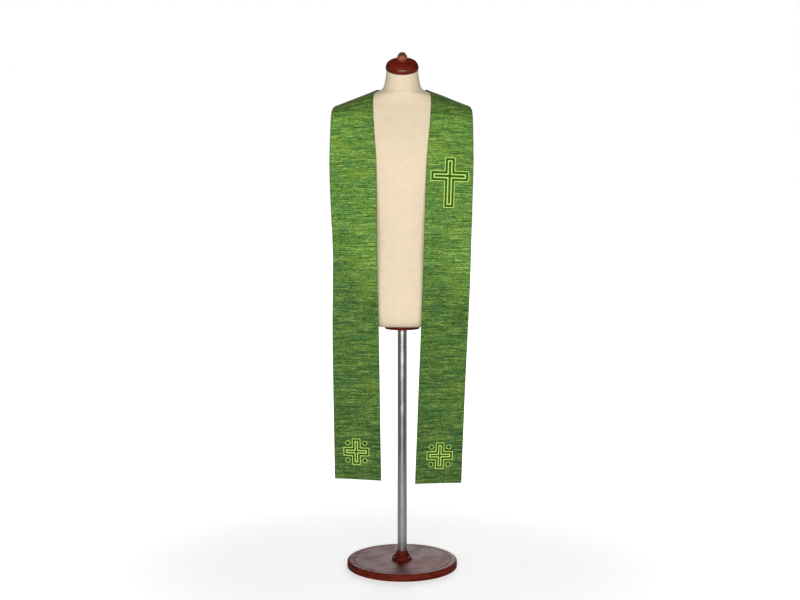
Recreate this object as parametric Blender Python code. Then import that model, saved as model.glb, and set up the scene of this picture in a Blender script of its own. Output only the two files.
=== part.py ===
"""A clerical stole resting on a limbless dress form with a turned neck cap, pole and base.

Metres, +Z up. The origin is on the floor under the pole. The form faces -Y, and +X is on the
right of someone who stands in front of it.
"""

import math
from typing import NamedTuple

import bmesh
import bpy
import numpy as np
from mathutils import Matrix, Vector
from mathutils.geometry import convex_hull_2d

# What meets face to face stays this far apart.
SEAT_GAP = 0.0003

# The stole: two straight bands, each cut in one length, a little narrower and further out at the
# neck, with a mitred top end.
BAND_WIDTH = 0.157
NECK_NARROWING = 0.017
NECK_SHIFT = 0.004
NECK_CUT_STARTS = 1.36
NECK_CUT_ENDS = 1.62
CLOTH_THICKNESS = 0.002
CLOTH_CLEARANCE = 0.0028
CELLS_ACROSS = 8
CELLS_HANGING = 30
CELLS_OVER_SHOULDER = 46

# How a band lies: its shoulder line slopes down outwards, and in front it turns a little aside
# below the shoulder. Both edges curl a little forward where it hangs free.
SHOULDER_SLOPE = math.radians(21.0)
FRONT_TURN = math.radians(11.0)
TURN_FULL_BELOW = 1.40
TURN_GONE_ABOVE = 1.57
CURL_FULL_BELOW = 1.15
CURL_GONE_ABOVE = 1.38
HANGS_BELOW = 1.40
HEM_DROP_REACH = 0.10

# The line of the cloth over a shoulder follows these parts of the form.
CHEST_FROM_X = 0.062
RIDGE_FROM_X = 0.088
CHEST_TOP = 1.50
BACK_TOP = 1.56
BACK_BOTTOM = 1.33
CREST_STEP = 0.004
CREST_SMOOTHING = 9
CHEST_RUN = 0.12
BACK_RUN = 0.24

# The form stands on a pole and a round base.
BASE_RADIUS = 0.190
BASE_HEIGHT = 0.024
BASE_EDGE = 0.008
BASE_CHAMFER = 0.001
POLE_RADIUS = 0.016
COLLAR_RADIUS = 0.034
COLLAR_HEIGHT = 0.030
COLLAR_RIM_HEIGHT = 0.009
COLLAR_LIP = 0.003
FLANGE_RADIUS = 0.060
FLANGE_HEIGHT = 0.012
FLANGE_CHAMFER = 0.004
FORM_BOTTOM = 0.838

# The cap sits on the neck, which leans forward.
NECK_TOP = 1.6992
NECK_TOP_FORWARD = 0.0225
NECK_TILT = math.radians(27.0)
CAP_RADIUS = 0.0558
CAP_RIM_HEIGHT = 0.0090
CAP_SHOULDER_RADIUS = 0.0400
CAP_SHOULDER_HEIGHT = 0.0252
CAP_HEIGHT = 0.0284
FINIAL_RADIUS = 0.0174
FINIAL_HEIGHT = 0.0298
FINIAL_FOOT_RADIUS = 0.0105
FINIAL_FOOT_HEIGHT = 0.0020
FINIAL_WAIST_RADIUS = 0.0095
FINIAL_BOWL = 0.0090

FORM_SEGMENTS = 40
LONGEST_RING_STEP = 0.032


class Ring(NamedTuple):
    """One level outline of the form, half widths and depths about its own middle."""

    height: float
    half_width: float
    front: float
    back: float
    middle_y: float
    tilt_degrees: float
    squareness: float


FORM_RINGS = (
    Ring(FORM_BOTTOM, 0.1200, 0.0800, 0.0850, 0.0040, 0, 2.2),
    Ring(0.8430, 0.1450, 0.0950, 0.1050, 0.0040, 0, 2.2),
    Ring(0.8580, 0.1630, 0.1060, 0.1180, 0.0040, 0, 2.2),
    Ring(0.8900, 0.1715, 0.1120, 0.1260, 0.0040, 0, 2.2),
    Ring(0.9400, 0.1730, 0.1130, 0.1280, 0.0040, 0, 2.2),
    Ring(1.0000, 0.1680, 0.1100, 0.1200, 0.0040, 0, 2.2),
    Ring(1.0600, 0.1590, 0.1060, 0.1060, 0.0040, 0, 2.2),
    Ring(1.1200, 0.1535, 0.1050, 0.0980, 0.0040, 0, 2.2),
    Ring(1.1900, 0.1570, 0.1100, 0.1000, 0.0040, 0, 2.2),
    Ring(1.2600, 0.1660, 0.1180, 0.1060, 0.0040, 0, 2.25),
    Ring(1.3300, 0.1770, 0.1250, 0.1120, 0.0040, 0, 2.3),
    Ring(1.3900, 0.1870, 0.1270, 0.1160, 0.0040, 0, 2.3),
    Ring(1.4400, 0.1970, 0.1220, 0.1170, 0.0040, 0, 2.25),
    Ring(1.4850, 0.2080, 0.1120, 0.1120, 0.0040, 0, 2.15),
    Ring(1.5200, 0.2160, 0.1010, 0.1040, 0.0040, 0, 2.1),
    Ring(1.5450, 0.2205, 0.0920, 0.0960, 0.0040, 0, 2.0),
    Ring(1.5620, 0.2205, 0.0860, 0.0890, 0.0040, 0, 2.0),
    Ring(1.5730, 0.2145, 0.0810, 0.0840, 0.0040, 0, 2.0),
    Ring(1.5818, 0.2035, 0.0770, 0.0800, 0.0035, 0, 2.0),
    Ring(1.5900, 0.1820, 0.0740, 0.0760, 0.0025, 0, 2.0),
    Ring(1.6000, 0.1560, 0.0710, 0.0730, 0.0010, 1, 2.0),
    Ring(1.6100, 0.1300, 0.0680, 0.0700, -0.0010, 2, 2.0),
    Ring(1.6180, 0.1080, 0.0660, 0.0645, -0.0035, 4, 2.0),
    Ring(1.6240, 0.0910, 0.0640, 0.0595, -0.0060, 6, 2.0),
    Ring(1.6290, 0.0765, 0.0620, 0.0575, -0.0080, 8, 2.0),
    Ring(1.6350, 0.0670, 0.0600, 0.0570, -0.0100, 11, 2.0),
    Ring(1.6430, 0.0620, 0.0580, 0.0565, -0.0120, 14.5, 2.0),
    Ring(1.6545, 0.0588, 0.0565, 0.0565, -0.0145, 18, 2.0),
    Ring(1.6685, 0.0562, 0.0550, 0.0555, -0.0170, 21.5, 2.0),
    Ring(1.6835, 0.0543, 0.0540, 0.0543, -0.0197, 24.5, 2.0),
    Ring(NECK_TOP, 0.0535, 0.0535, 0.0535, -NECK_TOP_FORWARD, math.degrees(NECK_TILT), 2.0),
)


class Fold(NamedTuple):
    """A soft wave that crosses a hanging band, deepest at one height and fading to both sides."""

    height: float
    reach: float
    inner_depth: float
    outer_depth: float


class Tuck(NamedTuple):
    """How far a band's edges swing in from straight about one height, and its outer edge back."""

    height: float
    reach: float
    inner: float
    outer: float
    back: float


class Band(NamedTuple):
    """One half of the stole, measured at the heights where it hangs clear."""

    name: str
    side: int
    hem_height: float
    hem_inner_x: float
    lean: float
    curl: float
    hem_drop: tuple
    tuck: Tuck
    folds: tuple


BANDS = (
    Band(
        "stole_band_right", 1, 0.3190, 0.0425, math.radians(1.95), 0.0030, (0.0035, 0.0013),
        Tuck(0.97, 0.26, 0.0015, -0.0034, 0.0),
        (
            Fold(1.10, 0.16, 0.0000, 0.0050),
            Fold(0.78, 0.15, 0.0030, -0.0030),
            Fold(0.46, 0.14, 0.0045, 0.0015),
        ),
    ),
    Band(
        "stole_band_left", -1, 0.3310, 0.0700, math.radians(0.80), 0.0025, (0.0045, 0.0013),
        Tuck(1.08, 0.18, 0.0022, 0.0062, 0.018),
        (
            Fold(1.16, 0.15, 0.0020, 0.0040),
            Fold(0.84, 0.16, -0.0025, 0.0030),
            Fold(0.50, 0.14, 0.0030, 0.0045),
        ),
    ),
)


class Finish(NamedTuple):
    """Colour, roughness and metallic value of one material."""

    name: str
    colour: tuple
    roughness: float
    metallic: float


GREEN_CLOTH = Finish("green slub cloth", (0.128, 0.265, 0.052), 0.85, 0.0)
CREAM_JERSEY = Finish("cream jersey", (0.760, 0.640, 0.460), 0.90, 0.0)
DARK_RED_WOOD = Finish("dark red lacquered wood", (0.120, 0.016, 0.010), 0.25, 0.0)
STEEL = Finish("brushed steel", (0.480, 0.470, 0.450), 0.35, 1.0)


def clear_scene():
    """Removes what the scene holds before the model is made."""
    for obj in list(bpy.data.objects):
        bpy.data.objects.remove(obj, do_unlink=True)


def material_of(finish):
    """A Principled BSDF material with the finish's values."""
    material = bpy.data.materials.new(finish.name)
    material.use_nodes = True
    shader = material.node_tree.nodes["Principled BSDF"]
    shader.inputs["Base Color"].default_value = (*finish.colour, 1.0)
    shader.inputs["Roughness"].default_value = finish.roughness
    shader.inputs["Metallic"].default_value = finish.metallic
    return material


def add_node(name, bm, finish, sharp_degrees=40.0):
    """Turns a bmesh into a named, smoothly shaded object with its faces pointing out."""
    bmesh.ops.recalc_face_normals(bm, faces=bm.faces)
    mesh = bpy.data.meshes.new(name)
    bm.to_mesh(mesh)
    bm.free()
    mesh.materials.append(material_of(finish))
    mesh.shade_smooth()
    mesh.set_sharp_from_angle(angle=math.radians(sharp_degrees))
    obj = bpy.data.objects.new(name, mesh)
    bpy.context.scene.collection.objects.link(obj)
    return obj


def smoothstep(value, low, high):
    """0 below low, 1 above high, and a soft ramp between them."""
    part = np.clip((value - low) / (high - low), 0.0, 1.0)
    return part * part * (3.0 - 2.0 * part)


# The form.


def finer_rings(rings):
    """The table with rings added on a smooth curve, where two lie further apart than the step."""
    rows = np.array(rings, dtype=float)
    slopes = np.gradient(rows, axis=0)
    finer = []
    for index in range(len(rows) - 1):
        start, end = rows[index], rows[index + 1]
        steps = max(1, math.ceil((end[0] - start[0]) / LONGEST_RING_STEP))
        for step in range(steps):
            t = step / steps
            finer.append(
                start * (2 * t**3 - 3 * t**2 + 1)
                + slopes[index] * (t**3 - 2 * t**2 + t)
                + end * (3 * t**2 - 2 * t**3)
                + slopes[index + 1] * (t**3 - t**2)
            )
    finer.append(rows[-1])
    return [Ring(*row) for row in finer]


def place_on_ring(verts, ring):
    """Moves the vertices of a circle onto the outline of one ring."""
    power = 2.0 / ring.squareness
    turn = Matrix.Rotation(math.radians(ring.tilt_degrees), 3, "X")
    for index, vert in enumerate(verts):
        angle = 2.0 * math.pi * index / len(verts)
        across, ahead = math.cos(angle), math.sin(angle)
        depth = ring.front if ahead < 0 else ring.back
        flat = Vector(
            (
                math.copysign(abs(across) ** power, across) * ring.half_width,
                math.copysign(abs(ahead) ** power, ahead) * depth,
                0.0,
            )
        )
        vert.co = turn @ flat + Vector((0.0, ring.middle_y, ring.height))


def form_body():
    """Torso and neck in one closed body, lofted through its rings."""
    bm = bmesh.new()
    below = None
    for ring in finer_rings(FORM_RINGS):
        made = bmesh.ops.create_circle(bm, segments=FORM_SEGMENTS, radius=1.0)
        place_on_ring(made["verts"], ring)
        edges = list({edge for vert in made["verts"] for edge in vert.link_edges})
        if below is None:
            bmesh.ops.contextual_create(bm, geom=edges)
        else:
            bmesh.ops.bridge_loops(bm, edges=below + edges)
        below = edges
    bmesh.ops.contextual_create(bm, geom=below)
    return add_node("form_body", bm, CREAM_JERSEY)


# Turned pieces.


def arc(centre, radii, start_degrees, end_degrees, steps):
    """Points of an elliptical arc in a turned profile, as (radius, height)."""
    angles = np.radians(np.linspace(start_degrees, end_degrees, steps + 1))
    return [
        (centre[0] + radii[0] * math.cos(angle), centre[1] + radii[1] * math.sin(angle))
        for angle in angles
    ]


def turned(name, profile, finish, segments, place=None):
    """Spins about Z a profile that closes on itself, or that begins and ends on the axis."""
    bm = bmesh.new()
    verts = [bm.verts.new((radius, 0.0, height)) for radius, height in profile]
    edges = [bm.edges.new(pair) for pair in zip(verts, verts[1:])]
    bmesh.ops.spin(
        bm, geom=verts + edges, cent=(0, 0, 0), axis=(0, 0, 1), dvec=(0, 0, 0),
        angle=2.0 * math.pi, steps=segments, use_merge=True,
    )
    bmesh.ops.remove_doubles(bm, verts=bm.verts, dist=1e-6)
    if place is not None:
        bmesh.ops.transform(bm, matrix=place, verts=bm.verts)
    return add_node(name, bm, finish)


def neck_top_place():
    """The seat of the cap: on the neck's top ring, tilted forward with it."""
    seat = Matrix.Translation((0.0, -NECK_TOP_FORWARD, NECK_TOP))
    return seat @ Matrix.Rotation(NECK_TILT, 4, "X")


def cap_and_finial():
    """The domed wooden cap on the neck and the knob on its crown."""
    place = neck_top_place() @ Matrix.Translation((0.0, 0.0, SEAT_GAP))
    rim = CAP_RIM_HEIGHT / 2.0
    cap = [(0.0, 0.0), (CAP_RADIUS - rim, 0.0)]
    cap += arc((CAP_RADIUS - rim, rim), (rim, rim), -60, 0, 3)
    shoulder = (CAP_RADIUS - CAP_SHOULDER_RADIUS, CAP_SHOULDER_HEIGHT - rim)
    cap += arc((CAP_SHOULDER_RADIUS, rim), shoulder, 0, 81, 6)[1:]
    crown_edge, crown_foot = cap[-1]
    rise = CAP_HEIGHT - crown_foot
    crown = (crown_edge**2 + rise**2) / (2.0 * rise)
    crown_from = math.degrees(math.acos(crown_edge / crown))
    cap += arc((0.0, CAP_HEIGHT - crown), (crown, crown), crown_from, 90, 4)[1:]
    turned("neck_cap", cap, DARK_RED_WOOD, 32, place)

    foot = CAP_HEIGHT + SEAT_GAP
    waist = math.asin(FINIAL_WAIST_RADIUS / FINIAL_RADIUS)
    widest = FINIAL_FOOT_HEIGHT + FINIAL_BOWL * math.cos(waist)
    bowl_from = math.degrees(waist) - 90.0
    middle = (0.0, foot + widest)
    finial = [(0.0, foot), (FINIAL_FOOT_RADIUS, foot)]
    finial += arc(middle, (FINIAL_RADIUS, FINIAL_BOWL), bowl_from, 0, 4)
    finial += arc(middle, (FINIAL_RADIUS, FINIAL_HEIGHT - widest), 0, 80, 6)[1:]
    finial.append((0.0, foot + FINIAL_HEIGHT))
    turned("cap_finial", finial, DARK_RED_WOOD, 24, place)


def stand():
    """Base, collar, pole and the flange that carries the form."""
    corner = BASE_RADIUS - BASE_EDGE
    base = [(0.0, 0.0), (BASE_RADIUS - BASE_CHAMFER, 0.0), (BASE_RADIUS, BASE_CHAMFER)]
    base += arc((corner, BASE_HEIGHT - BASE_EDGE), (BASE_EDGE, BASE_EDGE), 0, 90, 4)
    base.append((0.0, BASE_HEIGHT))
    turned("base_plate", base, DARK_RED_WOOD, 48)

    foot = BASE_HEIGHT + SEAT_GAP
    bore = POLE_RADIUS + SEAT_GAP
    hollow = (COLLAR_RADIUS - bore - COLLAR_LIP, COLLAR_HEIGHT - COLLAR_RIM_HEIGHT)
    collar = [(bore, foot), (COLLAR_RADIUS, foot)]
    collar += arc((COLLAR_RADIUS, foot + COLLAR_HEIGHT), hollow, 270, 180, 4)
    collar += [(bore, foot + COLLAR_HEIGHT), (bore, foot)]
    turned("base_collar", collar, DARK_RED_WOOD, 32)

    flange_top = FORM_BOTTOM - SEAT_GAP
    flange_foot = flange_top - FLANGE_HEIGHT
    pole_top = flange_foot - SEAT_GAP
    turned(
        "pole",
        [(0.0, foot), (POLE_RADIUS, foot), (POLE_RADIUS, pole_top), (0.0, pole_top)],
        STEEL, 24,
    )
    turned(
        "form_flange",
        [
            (0.0, flange_foot), (FLANGE_RADIUS - FLANGE_CHAMFER, flange_foot),
            (FLANGE_RADIUS, flange_foot + FLANGE_CHAMFER), (FLANGE_RADIUS, flange_top),
            (0.0, flange_top),
        ],
        DARK_RED_WOOD, 32,
    )


# The stole.


def upright_of(x, z):
    """Distance along the upright of the shoulder's slope, in the plane of the front."""
    return x * math.sin(SHOULDER_SLOPE) + z * math.cos(SHOULDER_SLOPE)


class Crest:
    """The line that the cloth follows over a shoulder, seen along the shoulder's slope.

    It is the tightest convex line round the form's chest, shoulder and back, moved out by the
    clearance. Below the chest it runs straight down. Lengths are measured along it, and at the
    front they equal the distance along the slope's upright.
    """

    def __init__(self, form):
        points = np.array([vert.co for vert in form.data.vertices])
        right = points[points[:, 0] > -SEAT_GAP]
        x, y, z = right.T
        chest = (y < 0.0) & (x > CHEST_FROM_X) & (z > BACK_BOTTOM) & (z < CHEST_TOP)
        ridge = (x > RIDGE_FROM_X) & (z >= CHEST_TOP)
        back = (y >= 0.0) & (z > BACK_BOTTOM) & (z < BACK_TOP)
        carried = right[chest | ridge | back]
        upright = upright_of(carried[:, 0], carried[:, 2])
        angles = np.linspace(0.0, 2.0 * math.pi, 24, endpoint=False)
        around = CLOTH_CLEARANCE * np.stack([np.cos(angles), np.sin(angles)], axis=1)
        grown = [
            Vector(point + offset)
            for point in np.stack([carried[:, 1], upright], axis=1)
            for offset in around
        ]
        hull = np.array([grown[index] for index in convex_hull_2d(grown)])
        self.front_y = hull[:, 0].min()
        self.trace(hull)

    def trace(self, hull):
        """Runs from straight below the chest over the shoulder and down the back."""
        order = np.argsort(np.arctan2(hull[:, 1] - hull[:, 1].mean(), hull[:, 0]))[::-1]
        hull = hull[order]
        hull = np.roll(hull, -int(hull[:, 0].argmin()), axis=0)
        hull = hull[: int(hull[:, 0].argmax()) + 1]
        below_chest = [self.front_y, hull[0, 1] - CHEST_RUN]
        below_back = [hull[-1, 0], hull[-1, 1] - BACK_RUN]
        line = np.vstack([below_chest, hull, below_back])
        runs = np.concatenate([[0.0], np.cumsum(np.linalg.norm(np.diff(line, axis=0), axis=1))])
        even = np.arange(0.0, runs[-1], CREST_STEP)
        depth = np.interp(even, runs, line[:, 0])
        upright = np.interp(even, runs, line[:, 1])
        kernel = np.ones(CREST_SMOOTHING) / CREST_SMOOTHING
        self.depth = np.convolve(depth, kernel, "valid")
        self.upright = np.convolve(upright, kernel, "valid")
        steps = np.hypot(np.diff(self.depth), np.diff(self.upright))
        self.along = self.upright[0] + np.concatenate([[0.0], np.cumsum(steps)])
        self.top = self.along[int(self.upright.argmax())]

    def at(self, along):
        """Depth and upright of the point at a length along the line."""
        if along <= self.along[0]:
            return self.front_y, along
        return (
            float(np.interp(along, self.along, self.depth)),
            float(np.interp(along, self.along, self.upright)),
        )


def lay(crest, across, height):
    """Where a point of the flat front plane comes to lie once the cloth bends over the shoulder."""
    sine, cosine = math.sin(SHOULDER_SLOPE), math.cos(SHOULDER_SLOPE)
    down_slope = across * cosine - height * sine
    depth, upright = crest.at(upright_of(across, height))
    return Vector(
        (down_slope * cosine + upright * sine, depth, upright * cosine - down_slope * sine)
    )


def band_point(crest, band, along, part):
    """The inner face of a band at a length up from its hem and a part of the way to its outer edge."""
    sine, cosine = math.sin(band.lean), math.cos(band.lean)
    inner_drop, outer_drop = band.hem_drop
    drop = inner_drop + part * (outer_drop - inner_drop)
    along -= drop * math.exp(-((along / HEM_DROP_REACH) ** 2))
    at_neck = smoothstep(band.hem_height + along, NECK_CUT_STARTS, NECK_CUT_ENDS)
    inset = (NECK_SHIFT + NECK_NARROWING / 2.0) * at_neck
    across = inset + part * (BAND_WIDTH - NECK_NARROWING * at_neck)
    tuck = band.tuck
    swing = math.exp(-(((band.hem_height + along - tuck.height) / tuck.reach) ** 2))
    across += swing * (tuck.inner * (1.0 - part) ** 2 - tuck.outer * part**2)
    flat_x = band.hem_inner_x + along * sine + across * cosine
    flat_z = band.hem_height + along * cosine - across * sine
    point = lay(crest, flat_x, flat_z)
    if upright_of(flat_x, flat_z) < crest.top:
        turn = 1.0 - smoothstep(point.z, TURN_FULL_BELOW, TURN_GONE_ABOVE)
        point.y += math.tan(FRONT_TURN) * across * turn
        curl = 1.0 - smoothstep(point.z, CURL_FULL_BELOW, CURL_GONE_ABOVE)
        point.y -= band.curl * (2.0 * part - 1.0) ** 2 * curl
        point.y += tuck.back * part**3 * swing
        for fold in band.folds:
            depth = fold.inner_depth + (fold.outer_depth - fold.inner_depth) * part
            point.y -= depth * math.exp(-(((point.z - fold.height) / fold.reach) ** 2))
    return point


def mitre_length(crest, band, part):
    """Length up from the hem at which a band meets the centre-back seam."""
    low, high = HANGS_BELOW - band.hem_height, crest.along[-1]
    for _ in range(40):
        middle = (low + high) / 2.0
        if band_point(crest, band, middle, part).x > SEAT_GAP / 2.0:
            low = middle
        else:
            high = middle
    return (low + high) / 2.0


def stole_band(crest, band):
    """One band from its hem over the shoulder to the seam at the back of the neck."""
    hanging_length = HANGS_BELOW - band.hem_height
    mitre = {}
    bm = bmesh.new()
    bmesh.ops.create_grid(
        bm, x_segments=CELLS_ACROSS, y_segments=CELLS_HANGING + CELLS_OVER_SHOULDER, size=0.5
    )
    bm.verts.ensure_lookup_table()
    hanging_share = CELLS_HANGING / (CELLS_HANGING + CELLS_OVER_SHOULDER)
    for vert in bm.verts:
        part = vert.co.x + 0.5
        share = vert.co.y + 0.5
        column = round(part * CELLS_ACROSS)
        if column not in mitre:
            mitre[column] = mitre_length(crest, band, part)
        if share <= hanging_share:
            along = hanging_length * share / hanging_share
        else:
            over = (share - hanging_share) / (1.0 - hanging_share)
            along = hanging_length + (mitre[column] - hanging_length) * over
        vert.co = band_point(crest, band, along, part)
    bm.normal_update()
    bmesh.ops.solidify(bm, geom=bm.faces[:], thickness=-CLOTH_THICKNESS)
    for vert in bm.verts:
        if vert.co.x < CLOTH_THICKNESS / 2.0:
            vert.co.x = SEAT_GAP / 2.0
    if band.side < 0:
        bmesh.ops.scale(bm, vec=(-1.0, 1.0, 1.0), verts=bm.verts)
    return add_node(band.name, bm, GREEN_CLOTH, 60.0)


def main():
    """Builds the form on its stand, then lays the stole over it."""
    clear_scene()
    stand()
    form = form_body()
    cap_and_finial()
    crest = Crest(form)
    for band in BANDS:
        stole_band(crest, band)


main()
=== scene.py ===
"""A clerical stole on a limbless dress form: its cloth, its embroidery and the stand's finishes.

Metres, +Z up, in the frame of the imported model. The form faces -Y, and +X is on the right of
someone who stands in front of it.
"""

import logging
import math
from dataclasses import dataclass
from enum import Enum
from typing import NamedTuple, Sequence

import bmesh
import bpy
import numpy as np
from mathutils import Matrix, Vector
from mathutils.geometry import convex_hull_2d


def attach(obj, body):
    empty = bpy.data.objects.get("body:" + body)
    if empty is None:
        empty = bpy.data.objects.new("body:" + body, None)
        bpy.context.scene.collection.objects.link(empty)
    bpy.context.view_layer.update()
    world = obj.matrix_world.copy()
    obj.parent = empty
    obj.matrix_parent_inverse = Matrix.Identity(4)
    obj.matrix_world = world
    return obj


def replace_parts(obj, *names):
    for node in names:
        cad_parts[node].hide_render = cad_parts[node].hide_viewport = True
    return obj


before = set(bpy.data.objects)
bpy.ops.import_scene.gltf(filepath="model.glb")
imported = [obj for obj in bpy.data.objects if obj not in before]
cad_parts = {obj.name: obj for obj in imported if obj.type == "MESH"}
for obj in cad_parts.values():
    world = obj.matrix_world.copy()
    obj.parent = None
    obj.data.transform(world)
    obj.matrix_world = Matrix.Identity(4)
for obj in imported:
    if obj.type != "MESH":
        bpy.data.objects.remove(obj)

LOG = logging.getLogger("stole")
BODY = "root"
UV_NAME = "surface"
FULL_TURN = 2.0 * math.pi
SEAT_GAP = 0.0003
MERGE_DISTANCE = 1e-6
TINY = 1e-9
BAND_WIDTH = 0.157
NECK_TOP = 1.6992
NECK_FORWARD = 0.0225
NECK_TILT = math.radians(27.0)
STITCH = 0.00045

Socket = bpy.types.NodeSocket
Material = bpy.types.Material
Piece = bpy.types.Object
Pair = tuple[float, float]
Triple = tuple[float, float, float]
Colour = Triple
Stop = tuple[float, Colour]
Profile = list[Pair]


class Slot(Enum):
    """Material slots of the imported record."""

    GREEN_CLOTH = "green_cloth"
    CREAM_JERSEY = "cream_jersey"
    DARK_RED_WOOD = "dark_red_wood"
    STEEL = "steel"


class Held(Enum):
    """Ways in which a sheet of cloth is held."""

    DRAPED = "draped"


# Shader nodes.

FLOAT, VECTOR, COLOUR = "NodeSocketFloat", "NodeSocketVector", "NodeSocketColor"
MIX_FACTOR, MIX_FIRST, MIX_SECOND, MIX_RESULT = 0, 6, 7, 2
ROW_SHIFT = 1.73
FINE_GRAIN, BROAD_GRAIN = (9.0, 150.0, 150.0), (5.0, 34.0, 34.0)
WAVER_SCALE, SMUDGE_SCALE, SCUFF_SCALE = 14.0, 22.0, 310.0
GRAIN_SPAN, SMUDGE_SPAN, SCUFF_SPAN = (0.36, 0.64), (0.4, 0.7), (0.5, 0.75)
BROAD_SHARE, SMUDGE_SHARE, SCUFF_SHARE = 0.45, 0.6, 0.4
TONES = (0.3, 0.7)


class Graph:
    """A node tree under construction, with short ways to add and join its nodes."""

    def __init__(self, tree: bpy.types.NodeTree) -> None:
        """Keeps the tree that the methods write to."""
        self.tree = tree

    def add(self, kind: str, inputs: dict | None = None, **settings: object) -> bpy.types.Node:
        """Adds a node and sets or links its inputs.

        Args:
            kind: Blender's identifier of the node.
            inputs: Values or sockets by input name or index.
            **settings: Properties of the node.

        Returns:
            The new node.
        """
        node = self.tree.nodes.new(kind)
        for name, value in settings.items():
            setattr(node, name, value)
        for key, value in (inputs or {}).items():
            if isinstance(value, Socket):
                self.tree.links.new(value, node.inputs[key])
            else:
                node.inputs[key].default_value = value
        return node

    def math(self, operation: str, *values: object, clamp: bool = False) -> Socket:
        """One Math node.

        Args:
            operation: The node's operation.
            *values: Numbers or sockets.
            clamp: Whether the result stays from 0 to 1.

        Returns:
            The result's socket.
        """
        settings = {"operation": operation, "use_clamp": clamp}
        return self.add("ShaderNodeMath", dict(enumerate(values)), **settings).outputs[0]

    def weighted(self, *terms: tuple[Socket, float]) -> Socket:
        """The sum of values, each times its share.

        Args:
            *terms: Each value's socket and share.

        Returns:
            The sum's socket.
        """
        (first, share), *others = terms
        total = self.math("MULTIPLY", first, share)
        for value, share in others:
            total = self.math("MULTIPLY_ADD", value, share, total)
        return total

    def noise(
        self, vector: Socket, scale: float = 1.0, detail: float = 2.0, rough: float = 0.5
    ) -> Socket:
        """A noise value from 0 to 1.

        Args:
            vector: Where the noise is read.
            scale: Its scale.
            detail: Its octaves.
            rough: How strong the finer octaves are.

        Returns:
            The value's socket.
        """
        inputs = {"Vector": vector, "Scale": scale, "Detail": detail, "Roughness": rough}
        return self.add("ShaderNodeTexNoise", inputs).outputs[0]

    def stretched(self, vector: Socket, scale: Sequence[float]) -> Socket:
        """The vector scaled by its own factor along each axis."""
        inputs = {"Vector": vector, "Scale": tuple(scale)}
        return self.add("ShaderNodeMapping", inputs).outputs[0]

    def quarter_turned(self, vector: Socket) -> Socket:
        """The vector turned by a right angle about Z."""
        inputs = {"Vector": vector, "Rotation": (0.0, 0.0, math.pi / 2.0)}
        return self.add("ShaderNodeMapping", inputs).outputs[0]

    def remap(
        self, value: object, low: float, high: float, to_low: float = 0.0, to_high: float = 1.0
    ) -> Socket:
        """A soft ramp of a value, level beyond its ends.

        Args:
            value: The number or socket.
            low: Where the ramp starts.
            high: Where it ends.
            to_low: The result at the start.
            to_high: The result at the end.

        Returns:
            The result's socket.
        """
        inputs = {"Value": value, "From Min": low, "From Max": high}
        inputs |= {"To Min": to_low, "To Max": to_high}
        node = self.add("ShaderNodeMapRange", inputs, interpolation_type="SMOOTHSTEP")
        return node.outputs[0]

    def mix(self, factor: object, first: object, second: object, blend: str = "MIX") -> Socket:
        """A blend of two colours.

        Args:
            factor: How much of the second colour there is.
            first: Colour or socket.
            second: Colour or socket.
            blend: The way they are blended.

        Returns:
            The result's socket.
        """
        inputs = {MIX_FACTOR: factor}
        for key, colour in ((MIX_FIRST, first), (MIX_SECOND, second)):
            inputs[key] = colour if isinstance(colour, Socket) else (*colour, 1.0)
        node = self.add("ShaderNodeMix", inputs, data_type="RGBA", blend_type=blend)
        return node.outputs[MIX_RESULT]

    def ramp(self, factor: Socket, stops: Sequence[Stop]) -> Socket:
        """A colour ramp.

        Args:
            factor: The value that picks the colour.
            stops: Position and colour of each stop.

        Returns:
            The colour's socket.
        """
        node = self.add("ShaderNodeValToRGB", {0: factor})
        elements = node.color_ramp.elements
        while len(elements) < len(stops):
            elements.new(0.5)
        for element, (position, colour) in zip(elements, stops):
            element.position = position
            element.color = (*colour, 1.0)
        return node.outputs[0]

    def bump(self, height: Socket, strength: float, depth: float) -> Socket:
        """A normal raised by a height map, with its depth in metres."""
        inputs = {"Height": height, "Strength": strength, "Distance": depth}
        return self.add("ShaderNodeBump", inputs).outputs[0]


class EffectGroup:
    """A shader node group that several finishes share."""

    def __init__(self, name: str, inputs: dict[str, str], outputs: dict[str, str]) -> None:
        """Makes the group with its named sockets.

        Args:
            name: The group's name.
            inputs: Socket kind by input name.
            outputs: Socket kind by output name.
        """
        self.tree = bpy.data.node_groups.new(name, "ShaderNodeTree")
        for socket, kind in inputs.items():
            self.tree.interface.new_socket(name=socket, in_out="INPUT", socket_type=kind)
        for socket, kind in outputs.items():
            self.tree.interface.new_socket(name=socket, in_out="OUTPUT", socket_type=kind)
        self.graph = Graph(self.tree)
        self.given = self.graph.add("NodeGroupInput").outputs
        self.result = self.graph.add("NodeGroupOutput")

    def put_out(self, name: str, socket: Socket) -> None:
        """Links a socket to one of the group's outputs."""
        self.tree.links.new(socket, self.result.inputs[name])

    def placed(self, graph: Graph, inputs: dict) -> bpy.types.NodeOutputs:
        """The outputs of the group, placed in a material's graph with its own values."""
        return graph.add("ShaderNodeGroup", inputs, node_tree=self.tree).outputs


class Yarn(NamedTuple):
    """One kind of yarn: the rows' spacing, the length of its runs and where its noise starts."""

    pitch: float
    length: float
    seed: float


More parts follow.
